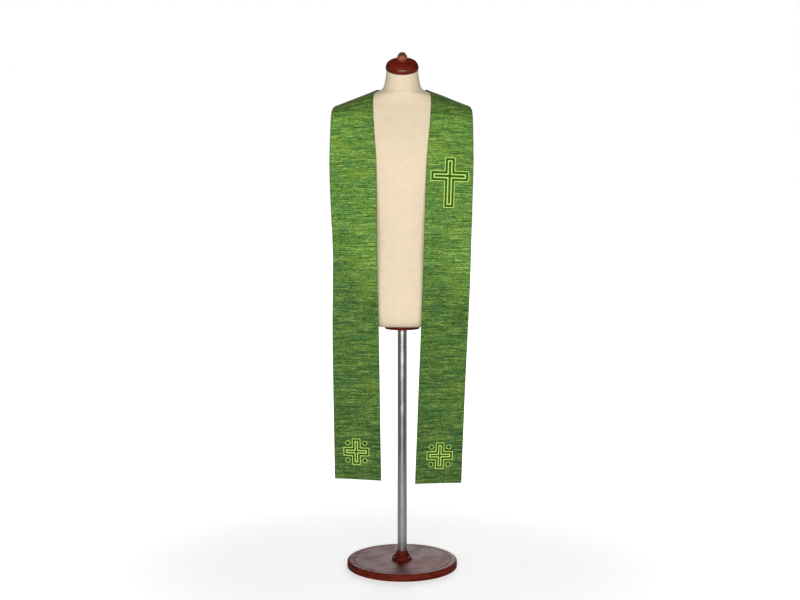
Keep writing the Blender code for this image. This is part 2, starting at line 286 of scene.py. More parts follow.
def yarn_rows(waver: float = 0.0016) -> EffectGroup:
    """Rows of yarn along U, one above the other in V, whose tone varies along them.

    Args:
        waver: How far a row wanders from straight, in metres.

    Returns:
        The group.
    """
    group = EffectGroup(
        "yarn rows",
        {"Vector": VECTOR, "Pitch": FLOAT, "Length": FLOAT, "Seed": FLOAT},
        {"Tone": FLOAT, "Crown": FLOAT},
    )
    graph, given = group.graph, group.given
    place = graph.add("ShaderNodeSeparateXYZ", {0: given["Vector"]}).outputs
    drift = graph.math("SUBTRACT", graph.noise(given["Vector"], WAVER_SCALE, detail=3.0), 0.5)
    drift = graph.math("MULTIPLY", drift, waver)
    rows = graph.math("DIVIDE", graph.math("ADD", place[1], drift), given["Pitch"])
    row = graph.math("MULTIPLY_ADD", graph.math("FLOOR", rows), ROW_SHIFT, given["Seed"])
    along = graph.math("DIVIDE", place[0], given["Length"])
    spot = graph.add("ShaderNodeCombineXYZ", {0: along, 1: row, 2: given["Seed"]}).outputs[0]
    group.put_out("Tone", graph.noise(spot, rough=0.55))
    crown = graph.math("SINE", graph.math("MULTIPLY", graph.math("FRACT", rows), math.pi))
    group.put_out("Crown", crown)
    return group


def wood_grain() -> EffectGroup:
    """Fine lengthwise grain with a few broader bands.

    Returns:
        The group.
    """
    group = EffectGroup(
        "wood grain",
        {"Vector": VECTOR, "Deep": COLOUR, "Bright": COLOUR},
        {"Color": COLOUR, "Height": FLOAT},
    )
    graph, given = group.graph, group.given
    thin, wide = (graph.stretched(given["Vector"], scale) for scale in (FINE_GRAIN, BROAD_GRAIN))
    fine, broad = graph.noise(thin, detail=4.0, rough=0.6), graph.noise(wide)
    level = graph.weighted((broad, BROAD_SHARE), (fine, 1.0 - BROAD_SHARE))
    blend = graph.remap(level, *GRAIN_SPAN)
    group.put_out("Color", graph.mix(blend, given["Deep"], given["Bright"]))
    group.put_out("Height", fine)
    return group


def handled() -> EffectGroup:
    """Roughness that rises in faint smudges and fine scuffs.

    Returns:
        The group.
    """
    group = EffectGroup(
        "handled surface",
        {"Vector": VECTOR, "Smooth": FLOAT, "Dull": FLOAT},
        {"Roughness": FLOAT},
    )
    graph, given = group.graph, group.given
    smudge = graph.remap(graph.noise(given["Vector"], SMUDGE_SCALE, detail=3.0), *SMUDGE_SPAN)
    scuff = graph.remap(graph.noise(given["Vector"], SCUFF_SCALE), *SCUFF_SPAN, 0.0, SCUFF_SHARE)
    share = graph.math("ADD", graph.math("MULTIPLY", smudge, SMUDGE_SHARE), scuff, clamp=True)
    spread = graph.math("SUBTRACT", given["Dull"], given["Smooth"])
    group.put_out("Roughness", graph.math("MULTIPLY_ADD", share, spread, given["Smooth"]))
    return group


class Effects(NamedTuple):
    """The shared effects, each made once."""

    yarn: EffectGroup
    grain: EffectGroup
    handled: EffectGroup

    def rows(self, graph: Graph, vector: Socket, yarn: Yarn) -> bpy.types.NodeOutputs:
        """The tone and crown of rows of one kind of yarn.

        Args:
            graph: The material's graph.
            vector: Coordinates along the surface, in metres.
            yarn: The kind of yarn.

        Returns:
            The outputs of the placed group.
        """
        return self.yarn.placed(graph, {
            "Vector": vector, "Pitch": yarn.pitch, "Length": yarn.length, "Seed": yarn.seed,
        })

    def rough(self, graph: Graph, place: Socket, smooth: float, dull: float) -> Socket:
        """The roughness of a handled surface.

        Args:
            graph: The material's graph.
            place: Object coordinates.
            smooth: Its roughness where it is clean.
            dull: Its roughness where it is most scuffed.

        Returns:
            The roughness's socket.
        """
        inputs = {"Vector": place, "Smooth": smooth, "Dull": dull}
        return self.handled.placed(graph, inputs)["Roughness"]


class Painted:
    """A Principled BSDF material while its nodes are written."""

    def __init__(self, name: str, values: dict[str, object]) -> None:
        """Makes the material.

        Args:
            name: The material's name.
            values: What is the same all over the surface, by input name.
        """
        self.material = bpy.data.materials.new(name)
        self.material.use_nodes = True
        self.graph = Graph(self.material.node_tree)
        self.shader = self.material.node_tree.nodes["Principled BSDF"]
        for key, value in values.items():
            self.shader.inputs[key].default_value = value

    def uv(self) -> Socket:
        """Coordinates in metres along the surface."""
        return self.graph.add("ShaderNodeUVMap", None, uv_map=UV_NAME).outputs[0]

    def place(self) -> Socket:
        """Object coordinates."""
        return self.graph.add("ShaderNodeTexCoord").outputs["Object"]

    def feed(self, name: str, socket: Socket) -> None:
        """Links a socket to one of the shader's inputs."""
        self.graph.tree.links.new(socket, self.shader.inputs[name])

    def feed_yarns(self, tone: Socket, rough: Pair, height: Socket, relief: Pair) -> None:
        """Makes the roughness follow the yarns' tone, and raises them.

        Args:
            tone: The yarns' tone.
            rough: Roughness of the darkest and of the lightest yarn.
            height: The yarns' height.
            relief: How strong the relief is, and its depth in metres.
        """
        self.feed("Roughness", self.graph.remap(tone, *TONES, *rough))
        self.feed("Normal", self.graph.bump(height, *relief))


class Tint(NamedTuple):
    """A colour that comes in as a value runs from one level to another."""

    colour: Colour
    starts: float
    full: float
    most: float

    def over(self, graph: Graph, value: Socket, colour: Socket) -> Socket:
        """The colour with the tint laid over it where the value calls for it."""
        share = graph.remap(value, self.starts, self.full, 0.0, self.most)
        return graph.mix(share, colour, self.colour)


@dataclass(frozen=True)
class SlubCloth:
    """Woven cloth with uneven weft yarns in mixed greens, deeper in tone towards the hems."""

    name: str = "green slub cloth"
    stops: tuple[Stop, ...] = (
        (0.00, (0.024, 0.084, 0.012)),
        (0.34, (0.077, 0.192, 0.029)),
        (0.66, (0.155, 0.308, 0.045)),
        (1.00, (0.390, 0.540, 0.115)),
    )
    stops_span: Pair = (0.37, 0.65)
    thread: Yarn = Yarn(0.0008, 0.012, 4.1)
    weft: Yarn = Yarn(0.0020, 0.050, 2.3)
    fleck: Yarn = Yarn(0.0025, 0.0056, 7.9)
    slub: Yarn = Yarn(0.0029, 0.060, 13.1)
    run: Yarn = Yarn(0.0032, 0.240, 17.3)
    warp: Yarn = Yarn(0.0011, 0.030, 5.9)
    main_share: float = 0.36
    minor_share: float = 0.14
    lime: Tint = Tint((0.400, 0.570, 0.110), 0.60, 0.74, 0.75)
    shadow: Tint = Tint((0.014, 0.055, 0.006), 0.42, 0.30, 0.70)
    cool: Tint = Tint((0.052, 0.195, 0.054), 0.50, 0.68, 0.50)
    warm: Tint = Tint((0.200, 0.310, 0.022), 0.50, 0.32, 0.40)
    patch_scale: Triple = (13.0, 24.0, 1.0)
    middle_tone: float = 0.487
    most_contrast: float = 1.5
    furrow_span: Pair = (0.0, 0.5)
    furrow_tones: Pair = (0.82, 1.04)
    warp_floor: float = 0.6
    thread_span: Pair = (0.0, 1.1)
    thread_tones: Pair = (0.80, 1.08)
    red_fall: float = 1.12
    blue_fall: float = 0.90
    drift_scale: Triple = (7.0, 5.0, 1.0)
    drift: float = 0.22
    slant: float = 0.95
    knee: Pair = (0.78, 0.98)
    knee_tone: float = 0.68
    hem: Pair = (0.22, 0.66)
    hem_tone: float = 0.51
    # Painted light on the upper chest and on everything above it.
    chest: Pair = (1.02, 1.16)
    chest_light_tone: float = 1.12
    # Painted shade where the cloth turns back over the shoulder: where it starts, where it ends,
    # its tone.
    shoulder_shade_starts: Pair = (1.214, 1.248)
    shoulder_shade_ends: Pair = (1.330, 1.400)
    shoulder_shade_tone: float = 0.56
    half_width: float = BAND_WIDTH / 2.0
    # Painted shade along both edges of the band, deepest at the edge itself.
    edge: Pair = (0.005, 0.0005)
    edge_shade_tone: float = 0.80
    rough: Pair = (0.86, 0.66)
    relief: Pair = (0.55, 0.0006)
    thread_relief: float = 0.30
    slub_relief: float = 0.90

    def material(self, effects: Effects) -> Material:
        """The cloth's material, which reads the surface map.

        Args:
            effects: The shared effects.

        Returns:
            The material.
        """
        paint = Painted(self.name, {
            "Specular IOR Level": 0.25, "Sheen Weight": 0.14, "Sheen Roughness": 0.45,
            "Sheen Tint": (0.78, 0.95, 0.50, 1.0),
        })
        graph, uv = paint.graph, paint.uv()
        thread, weft, fleck, slub, run = (
            effects.rows(graph, uv, yarn)
            for yarn in (self.thread, self.weft, self.fleck, self.slub, self.run)
        )
        warp = effects.rows(graph, graph.quarter_turned(uv), self.warp)
        along = self.tone_along(graph, uv)
        tone = graph.weighted(
            (weft["Tone"], self.main_share), (fleck["Tone"], self.main_share),
            (thread["Tone"], self.minor_share), (run["Tone"], self.minor_share),
        )
        contrast = graph.math("MULTIPLY_ADD", along, 1.0 - self.most_contrast, self.most_contrast)
        off_middle = graph.math("SUBTRACT", tone, self.middle_tone)
        tone = graph.math("MULTIPLY_ADD", off_middle, contrast, self.middle_tone)
        colour = self.dyed(graph, uv, tone, slub["Tone"])
        furrow = graph.remap(weft["Crown"], *self.furrow_span, *self.furrow_tones)
        crossing = graph.math("ADD", warp["Crown"], self.warp_floor)
        fine = graph.math("MULTIPLY", thread["Crown"], crossing)
        gaps = graph.remap(fine, *self.thread_span, *self.thread_tones)
        shade = graph.math("MULTIPLY", graph.math("MULTIPLY", furrow, gaps), along)
        paint.feed("Base Color", self.deepened(graph, colour, shade))
        round_weft = graph.math("MULTIPLY", weft["Crown"], weft["Tone"])
        height = graph.weighted(
            (round_weft, 1.0), (fine, self.thread_relief), (slub["Tone"], self.slub_relief)
        )
        paint.feed_yarns(slub["Tone"], self.rough, height, self.relief)
        return paint.material

    def dyed(self, graph: Graph, uv: Socket, tone: Socket, slub: Socket) -> Socket:
        """The mixed greens of the yarns.

        Args:
            graph: The material's graph.
            uv: Coordinates along the surface.
            tone: How light the yarns are.
            slub: The tone of the slubs alone.

        Returns:
            The colour's socket.
        """
        colour = graph.ramp(graph.remap(tone, *self.stops_span), self.stops)
        patch = graph.noise(graph.stretched(uv, self.patch_scale), detail=3.0, rough=0.6)
        for tint, level in (
            (self.cool, patch), (self.warm, patch), (self.lime, slub), (self.shadow, slub),
        ):
            colour = tint.over(graph, level, colour)
        return colour

    def deepened(self, graph: Graph, colour: Socket, shade: Socket) -> Socket:
        """Darkens a green, its red the most and its blue the least.

        Args:
            graph: The material's graph.
            colour: The green.
            shade: A factor for it.

        Returns:
            The darker colour's socket.
        """
        grey = graph.add("ShaderNodeCombineColor", {
            "Red": graph.math("POWER", shade, self.red_fall), "Green": shade,
            "Blue": graph.math("POWER", shade, self.blue_fall),
        }).outputs[0]
        return graph.mix(1.0, colour, grey, "MULTIPLY")

    def tone_along(self, graph: Graph, uv: Socket) -> Socket:
        """Darker to the hems, painted light on the chest, painted shade on the shoulder and
        edges.

        Args:
            graph: The material's graph.
            uv: Coordinates along the surface.

        Returns:
            A factor for the colour.
        """
        place = graph.add("ShaderNodeSeparateXYZ", {0: uv}).outputs
        drift = graph.noise(graph.stretched(uv, self.drift_scale))
        slant = graph.math("MULTIPLY_ADD", place[0], self.slant, place[1])
        slant = graph.math("MULTIPLY_ADD", drift, self.drift, slant)
        upper = graph.remap(slant, *self.knee, self.knee_tone, 1.0)
        lower = graph.remap(slant, *self.hem, self.hem_tone / self.knee_tone, 1.0)
        # Painted shade along both edges of the band.
        off_middle = graph.math("SUBTRACT", place[0], self.half_width)
        from_edge = graph.math("SUBTRACT", self.half_width, graph.math("ABSOLUTE", off_middle))
        edge = graph.remap(from_edge, *self.edge, 1.0, self.edge_shade_tone)
        # Painted light on the upper chest and above.
        chest = graph.remap(place[1], *self.chest, 1.0, self.chest_light_tone)
        # Painted shade over the shoulder, where the cloth turns back.
        over = graph.remap(place[1], *self.shoulder_shade_starts, 1.0, self.shoulder_shade_tone)
        past = graph.remap(place[1], *self.shoulder_shade_ends, self.shoulder_shade_tone, 1.0)
        tone = graph.math("MULTIPLY", graph.math("MULTIPLY", upper, lower), edge)
        tone = graph.math("MULTIPLY", tone, graph.math("MAXIMUM", over, past))
        return graph.math("MULTIPLY", tone, chest)


@dataclass(frozen=True)
class Lining:
    """Plain dark green lining cloth on the reverse."""

    name: str = "green lining"
    deep: Colour = (0.020, 0.085, 0.022)
    bright: Colour = (0.038, 0.135, 0.036)
    weft: Yarn = Yarn(0.0007, 0.02, 4.0)
    rough: Pair = (0.62, 0.50)
    relief: Pair = (0.25, 0.0002)

    def material(self, effects: Effects) -> Material:
        """The lining's material, which reads the surface map.

        Args:
            effects: The shared effects.

        Returns:
            The material.
        """
        paint = Painted(self.name, {"Specular IOR Level": 0.4, "Sheen Weight": 0.12})
        graph, uv = paint.graph, paint.uv()
        weft = effects.rows(graph, uv, self.weft)
        paint.feed("Base Color", graph.mix(weft["Tone"], self.deep, self.bright))
        paint.feed_yarns(weft["Tone"], self.rough, weft["Crown"], self.relief)
        return paint.material


@dataclass(frozen=True)
class SatinThread:
    """Glossy embroidery thread laid side by side across a stitched band."""

    name: str
    deep: Colour
    bright: Colour
    shine: Colour = (0.70, 1.00, 0.35)
    thread: Yarn = Yarn(STITCH, 0.004, 9.0)
    rough: Pair = (0.52, 0.38)
    relief: Pair = (0.4, 0.00015)

    def material(self, effects: Effects) -> Material:
        """The thread's material: U runs across the band and V along it.

        Args:
            effects: The shared effects.

        Returns:
            The material.
        """
        paint = Painted(self.name, {
            "Specular IOR Level": 0.30, "Specular Tint": (*self.shine, 1.0),
        })
        graph, uv = paint.graph, paint.uv()
        rows = effects.rows(graph, uv, self.thread)
        tone = graph.remap(rows["Tone"], *TONES)
        paint.feed("Base Color", graph.mix(tone, self.deep, self.bright))
        paint.feed_yarns(rows["Tone"], self.rough, rows["Crown"], self.relief)
        return paint.material


@dataclass(frozen=True)
class KnitJersey:
    """Fine cream jersey stretched over the form."""

    name: str = "cream jersey"
    deep: Colour = (0.735, 0.605, 0.430)
    bright: Colour = (0.795, 0.665, 0.475)
    wale: Yarn = Yarn(0.0013, 0.006, 1.0)
    course: Yarn = Yarn(0.00104, 0.004, 5.0)
    course_floor: float = 0.6
    mottle_scale: float = 46.0
    rough: Pair = (0.95, 0.82)
    relief: Pair = (0.35, 0.0003)

    def material(self, effects: Effects) -> Material:
        """The jersey's material, which reads the surface map.

        Args:
            effects: The shared effects.

        Returns:
            The material.
        """
        paint = Painted(self.name, {
            "Specular IOR Level": 0.25, "Sheen Weight": 0.25, "Sheen Roughness": 0.5,
        })
        graph, uv = paint.graph, paint.uv()
        wales = effects.rows(graph, graph.quarter_turned(uv), self.wale)
        courses = effects.rows(graph, uv, self.course)
        mottle = graph.noise(uv, self.mottle_scale, detail=3.0)
        tone = graph.weighted((mottle, 0.5), (wales["Tone"], 0.5))
        paint.feed("Base Color", graph.mix(graph.remap(tone, *TONES), self.deep, self.bright))
        crossing = graph.math("ADD", courses["Crown"], self.course_floor)
        height = graph.math("MULTIPLY", wales["Crown"], crossing)
        paint.feed_yarns(wales["Tone"], self.rough, height, self.relief)
        return paint.material


@dataclass(frozen=True)
class LacqueredWood:
    """Turned wood under clear lacquer, painted light and shade set by two heights and tones."""

    name: str
    deep: Colour
    bright: Colour
    coat: float
    coat_roughness: float = 0.21
    smooth: float = 0.30
    dull: float = 0.44
    gloss: float = 0.08
    relief: Pair = (0.05, 0.0002)
    painted_light_and_shade: tuple[Pair, ...] = ()

    def add_painted_light_and_shade(self, graph: Graph, place: Socket, colour: Socket) -> Socket:
        """Paints shade or light into the colour between two heights on the neck's leaning axis.

        Args:
            graph: The material's graph.
            place: Object coordinates.
            colour: The wood's colour.

        Returns:
            The stained colour.
        """
        axes = graph.add("ShaderNodeSeparateXYZ", {0: place}).outputs
        ahead = graph.math("MULTIPLY_ADD", axes[1], -1.0, -NECK_FORWARD)
        above = graph.math("SUBTRACT", axes[2], NECK_TOP)
        height = graph.math("MULTIPLY", above, math.cos(NECK_TILT))
        height = graph.math("MULTIPLY_ADD", ahead, math.sin(NECK_TILT), height)
        # A tone below one paints shade, and a tone above one paints light.
        (low, low_tone), (high, high_tone) = self.painted_light_and_shade
        tone = graph.remap(height, low, high, low_tone, high_tone)
        return graph.mix(1.0, colour, tone, "MULTIPLY")

    def material(self, effects: Effects) -> Material:
        """The wood's material, whose grain reads object coordinates.

        Args:
            effects: The shared effects.

        Returns:
            The material.
        """
        paint = Painted(self.name, {
            "Coat Weight": self.coat, "Coat Roughness": self.coat_roughness,
            "Specular IOR Level": self.gloss,
        })
        graph, place = paint.graph, paint.place()
        grain = effects.grain.placed(graph, {
            "Vector": place, "Deep": (*self.deep, 1.0), "Bright": (*self.bright, 1.0),
        })
        colour = grain["Color"]
        if self.painted_light_and_shade:
            colour = self.add_painted_light_and_shade(graph, place, colour)
        paint.feed("Base Color", colour)
        paint.feed("Roughness", effects.rough(graph, place, self.smooth, self.dull))
        paint.feed("Normal", graph.bump(grain["Height"], *self.relief))
        return paint.material


@dataclass(frozen=True)
class BrushedSteel:
    """Steel tube brushed round its length."""

    name: str = "brushed steel"
    deep: Colour = (0.400, 0.392, 0.375)
    bright: Colour = (0.560, 0.550, 0.530)
    line_scale: Triple = (30.0, 30.0, 2600.0)
    smooth: float = 0.28
    dull: float = 0.42
    relief: Pair = (0.12, 0.0001)

    def material(self, effects: Effects) -> Material:
        """The steel's material, whose lines read object coordinates.

        Args:
            effects: The shared effects.

        Returns:
            The material.
        """
        paint = Painted(self.name, {"Metallic": 1.0})
        graph, place = paint.graph, paint.place()
        lines = graph.noise(graph.stretched(place, self.line_scale), detail=3.0, rough=0.6)
        paint.feed("Base Color", graph.mix(lines, self.deep, self.bright))
        paint.feed("Roughness", effects.rough(graph, place, self.smooth, self.dull))
        paint.feed("Normal", graph.bump(lines, *self.relief))
        return paint.material


# Mesh helpers.


def smoothstep(value: np.ndarray | float, low: float, high: float) -> np.ndarray:
    """0 below low, 1 above high, and a soft ramp between them."""
    part = np.clip((value - low) / (high - low), 0.0, 1.0)
    return part * part * (3.0 - 2.0 * part)


def link(name: str, data: bpy.types.ID) -> Piece:
    """Puts a mesh, a lamp or a camera into the scene as an object of its own.

    Args:
        name: The object's name.
        data: The mesh, lamp or camera.

    Returns:
        The new object.
    """
    obj = bpy.data.objects.new(name, data)
    bpy.context.scene.collection.objects.link(obj)
    return obj


def to_object(name: str, bm: bmesh.types.BMesh, materials: Sequence[Material]) -> Piece:
    """Turns a bmesh into an object.

    Args:
        name: The object's name.
        bm: Its bmesh, which is freed.
        materials: Its materials.

    Returns:
        The new object.
    """
    mesh = bpy.data.meshes.new(name)
    bm.to_mesh(mesh)
    bm.free()
    for material in materials:
        mesh.materials.append(material)
    return link(name, mesh)


def close_ends(bm: bmesh.types.BMesh) -> None:
    """Joins the long edges of a rolled grid and fills the openings at its ends.

    Args:
        bm: The grid's bmesh.
    """
    bmesh.ops.remove_doubles(bm, verts=bm.verts, dist=MERGE_DISTANCE)
    open_edges = [edge for edge in bm.edges if edge.is_boundary]
    bmesh.ops.holes_fill(bm, edges=open_edges, sides=0)


def add_piece(
    name: str,
    bm: bmesh.types.BMesh,
    materials: Sequence[Material],
    sharp_degrees: float = 50.0,
) -> Piece:
    """Turns a closed bmesh into a piece that rides on the one body.

    Args:
        name: The piece's name.
        bm: Its bmesh, which is freed.
        materials: Its materials.
        sharp_degrees: Edges that turn by more than this stay sharp.

    Returns:
        The new object.
    """
    bmesh.ops.remove_doubles(bm, verts=bm.verts, dist=MERGE_DISTANCE)
    bmesh.ops.recalc_face_normals(bm, faces=bm.faces)
    obj = to_object(name, bm, materials)
    obj.data.shade_smooth()
    obj.data.set_sharp_from_angle(angle=math.radians(sharp_degrees))
    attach(obj, BODY)
    LOG.info("%s: %d faces", name, len(obj.data.polygons))
    return obj


class PlacedGrid(NamedTuple):
    """Where each vertex of a grid goes, and its place on the surface map, by row and column."""

    points: np.ndarray
    u: np.ndarray
    v: np.ndarray


def lay_grid(bm: bmesh.types.BMesh, grid: PlacedGrid) -> list[bmesh.types.BMFace]:
    """Adds a grid to a bmesh, moves it into place and writes its surface map.

    Args:
        bm: The bmesh.
        grid: Where the vertices go.

    Returns:
        The new faces, row by row.
    """
    rows, columns = grid.u.shape
    uv_layer = bm.loops.layers.uv.get(UV_NAME) or bm.loops.layers.uv.new(UV_NAME)
    made = bmesh.ops.create_grid(bm, x_segments=columns - 1, y_segments=rows - 1, size=0.5)
    where = {}
    for vert in made["verts"]:
        spot = (round((vert.co.y + 0.5) * (rows - 1)), round((vert.co.x + 0.5) * (columns - 1)))
        where[vert] = spot
        vert.co = grid.points[spot]
    faces = list({face for vert in made["verts"] for face in vert.link_faces})
    faces.sort(key=lambda face: min(where[vert] for vert in face.verts))
    for face in faces:
        for loop in face.loops:
            spot = where[loop.vert]
            loop[uv_layer].uv = (grid.u[spot], grid.v[spot])
    return faces


# The dress form.


class Ring(NamedTuple):
    """One level outline of the form, half widths and depths about its own middle."""

    height: float
    half_width: float
    front: float
    back: float
    middle_y: float
    tilt_degrees: float
    squareness: float


FORM_RINGS = (
    Ring(0.8380, 0.1200, 0.0800, 0.0850, 0.0040, 0, 2.2),
    Ring(0.8430, 0.1450, 0.0950, 0.1050, 0.0040, 0, 2.2),
    Ring(0.8580, 0.1630, 0.1060, 0.1180, 0.0040, 0, 2.2),
    Ring(0.8900, 0.1715, 0.1120, 0.1260, 0.0040, 0, 2.2),
    Ring(0.9400, 0.1730, 0.1130, 0.1280, 0.0040, 0, 2.2),
    Ring(1.0000, 0.1680, 0.1100, 0.1200, 0.0040, 0, 2.2),
    Ring(1.0600, 0.1590, 0.1060, 0.1060, 0.0040, 0, 2.2),
    Ring(1.1200, 0.1535, 0.1050, 0.0980, 0.0040, 0, 2.2),
    Ring(1.1900, 0.1570, 0.1100, 0.1000, 0.0040, 0, 2.2),
    Ring(1.2600, 0.1660, 0.1180, 0.1060, 0.0040, 0, 2.25),
    Ring(1.3300, 0.1770, 0.1250, 0.1120, 0.0040, 0, 2.3),
    Ring(1.3900, 0.1870, 0.1270, 0.1160, 0.0040, 0, 2.3),
    Ring(1.4400, 0.1970, 0.1220, 0.1170, 0.0040, 0, 2.25),
    Ring(1.4850, 0.2080, 0.1120, 0.1120, 0.0040, 0, 2.15),
    Ring(1.5200, 0.2160, 0.1010, 0.1040, 0.0040, 0, 2.1),
    Ring(1.5450, 0.2205, 0.0920, 0.0960, 0.0040, 0, 2.0),
    Ring(1.5620, 0.2205, 0.0860, 0.0890, 0.0040, 0, 2.0),
    Ring(1.5730, 0.2145, 0.0810, 0.0840, 0.0040, 0, 2.0),
    Ring(1.5818, 0.2035, 0.0770, 0.0800, 0.0035, 0, 2.0),
    Ring(1.5900, 0.1820, 0.0740, 0.0760, 0.0025, 0, 2.0),
    Ring(1.6000, 0.1560, 0.0710, 0.0730, 0.0010, 1, 2.0),
    Ring(1.6100, 0.1300, 0.0680, 0.0700, -0.0010, 2, 2.0),
    Ring(1.6180, 0.1080, 0.0660, 0.0645, -0.0035, 4, 2.0),
    Ring(1.6240, 0.0910, 0.0640, 0.0595, -0.0060, 6, 2.0),
    Ring(1.6290, 0.0765, 0.0620, 0.0575, -0.0080, 8, 2.0),
    Ring(1.6350, 0.0670, 0.0600, 0.0570, -0.0100, 11, 2.0),
    Ring(1.6430, 0.0620, 0.0580, 0.0565, -0.0120, 14.5, 2.0),
    Ring(1.6545, 0.0588, 0.0565, 0.0565, -0.0145, 18, 2.0),
    Ring(1.6685, 0.0562, 0.0550, 0.0555, -0.0170, 21.5, 2.0),
    Ring(1.6835, 0.0543, 0.0540, 0.0543, -0.0197, 24.5, 2.0),
    Ring(NECK_TOP, 0.0535, 0.0535, 0.0535, -NECK_FORWARD, 27, 2.0),
)


@dataclass
class DressForm:
    """Padded torso and neck in a sewn jersey cover."""

    jersey: Material
    rings: tuple[Ring, ...] = FORM_RINGS
    ring_step: float = 0.009
    angles: int = 96
    seam_angles: tuple[float, ...] = (0.0, 0.5 * math.pi, math.pi)
    beside_seams: tuple[float, ...] = (-0.022, -0.011, -0.0055, 0.0055, 0.011, 0.022)
    seam_reach: float = 0.5
    seam_half_width: float = 0.0022
    seam_depth: float = 0.0009
    girth: float = 0.95

    def finer_rings(self) -> np.ndarray:
        """Rows of the table on a smooth curve, no further apart than the step.

        Returns:
            One row for each level, with the fields of a ring.
        """
        rows = np.array(self.rings, dtype=float)
        slopes = np.gradient(rows, axis=0)
        finer = []
        for index in range(len(rows) - 1):
            start, end = rows[index], rows[index + 1]
            steps = max(2, math.ceil((end[0] - start[0]) / self.ring_step))
            for step in range(steps):
                t = step / steps
                finer.append(
                    start * (2 * t**3 - 3 * t**2 + 1)
                    + slopes[index] * (t**3 - 2 * t**2 + t)
                    + end * (3 * t**2 - 2 * t**3)
                    + slopes[index + 1] * (t**3 - t**2)
                )
        finer.append(rows[-1])
        return np.array(finer)

    def turns(self) -> np.ndarray:
        """Angles round the form, closer together beside its seams.

        Returns:
            The angles, from 0 to a full turn.
        """
        even = np.linspace(0.0, FULL_TURN, self.angles + 1)
        beside = np.add.outer((*self.seam_angles, FULL_TURN), self.beside_seams)
        turns = np.unique(np.round(np.concatenate([even, beside.ravel()]), 6))
        turns = turns[(turns >= 0.0) & (turns <= round(FULL_TURN, 6))]
        turns[-1] = FULL_TURN
        return turns

    def grid(self) -> PlacedGrid:
        """The lofted surface, with a shallow groove along each seam of the cover.

        Returns:
            Where the form's grid goes.
        """
        turns = self.turns()
        columns = (column[:, None] for column in self.finer_rings().T)
        height, width, front, back, middle, tilt, square = columns
        heading = np.stack([np.cos(turns), np.sin(turns)])
        across, ahead = np.where(np.abs(heading) < TINY, 0.0, heading)[:, None, :]
        power = 2.0 / square
        depth = np.where(ahead < 0.0, front, back)
        x = np.sign(across) * np.abs(across) ** power * width
        y = np.sign(ahead) * np.abs(ahead) ** power * depth
        keep = 1.0 - self.grooves(x, y, turns) / np.hypot(x, y)
        x, y = x * keep, y * keep
        tilt = np.radians(tilt)
        points = np.stack([x, y * np.cos(tilt) + middle, y * np.sin(tilt) + height], axis=2)
        points[:, -1] = points[:, 0]
        u = np.broadcast_to(turns / FULL_TURN * self.girth, x.shape)
        v = np.broadcast_to(height, x.shape)
        return PlacedGrid(points, u, v)

    def grooves(self, x: np.ndarray, y: np.ndarray, turns: np.ndarray) -> np.ndarray:
        """How deep the cover is pressed in at its seams.

        Args:
            x: Place across, for each ring and angle.
            y: Place from front to back.
            turns: The angles.

        Returns:
            The depth, for each ring and angle.
        """
        groove = np.zeros_like(x)
        for seam in (*self.seam_angles, FULL_TURN):
            at_seam = [np.argmin(np.abs(turns - seam))]
            away = np.hypot(x - x[:, at_seam], y - y[:, at_seam])
            near = np.abs(turns - seam)[None, :] < self.seam_reach
            groove += np.where(near, np.exp(-((away / self.seam_half_width) ** 2)), 0.0)
        return self.seam_depth * np.minimum(groove, 1.0)

    def build(self) -> Piece:
        """Makes the form's body, closed at the foot and under the cap.

        Returns:
            The piece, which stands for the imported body.
        """
        bm = bmesh.new()
        lay_grid(bm, self.grid())
        close_ends(bm)
        piece = add_piece("form_body_cover", bm, [self.jersey])
        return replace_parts(piece, "form_body")


# Turned pieces.


def arc(centre: Pair, radii: Pair, start: float, end: float, steps: int) -> Profile:
    """Points of an elliptical arc in a turned profile.

    Args:
        centre: Radius and height of the arc's centre.
        radii: Half widths across and up.
        start: First angle, in degrees.
        end: Last angle, in degrees.
        steps: Number of chords.

    Returns:
        Radius and height of each point.
    """
    angles = np.radians(np.linspace(start, end, steps + 1))
    return [
        (centre[0] + radii[0] * math.cos(angle), centre[1] + radii[1] * math.sin(angle))
        for angle in angles
    ]


def turned(
    name: str,
    profile: Profile,
    material: Material,
    place: Matrix | None = None,
    segments: int = 96,
) -> Piece:
    """Spins a profile about Z.

    Args:
        name: The piece's name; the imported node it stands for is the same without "_turned".
        profile: Radius and height of each point, closed on itself or ending on the axis.
        material: Its finish.
        place: Where the spun mesh is moved.
        segments: Steps round the axis.

    Returns:
        The piece.
    """
    bm = bmesh.new()
    verts = [bm.verts.new((radius, 0.0, height)) for radius, height in profile]
    edges = [bm.edges.new(pair) for pair in zip(verts, verts[1:])]
    bmesh.ops.spin(
        bm, geom=verts + edges, cent=(0, 0, 0), axis=(0, 0, 1), dvec=(0, 0, 0),
        angle=FULL_TURN, steps=segments, use_merge=True,
    )
    if place is not None:
        bmesh.ops.transform(bm, matrix=place, verts=bm.verts)
    piece = add_piece(f"{name}_turned", bm, [material], sharp_degrees=32.0)
    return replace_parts(piece, name)


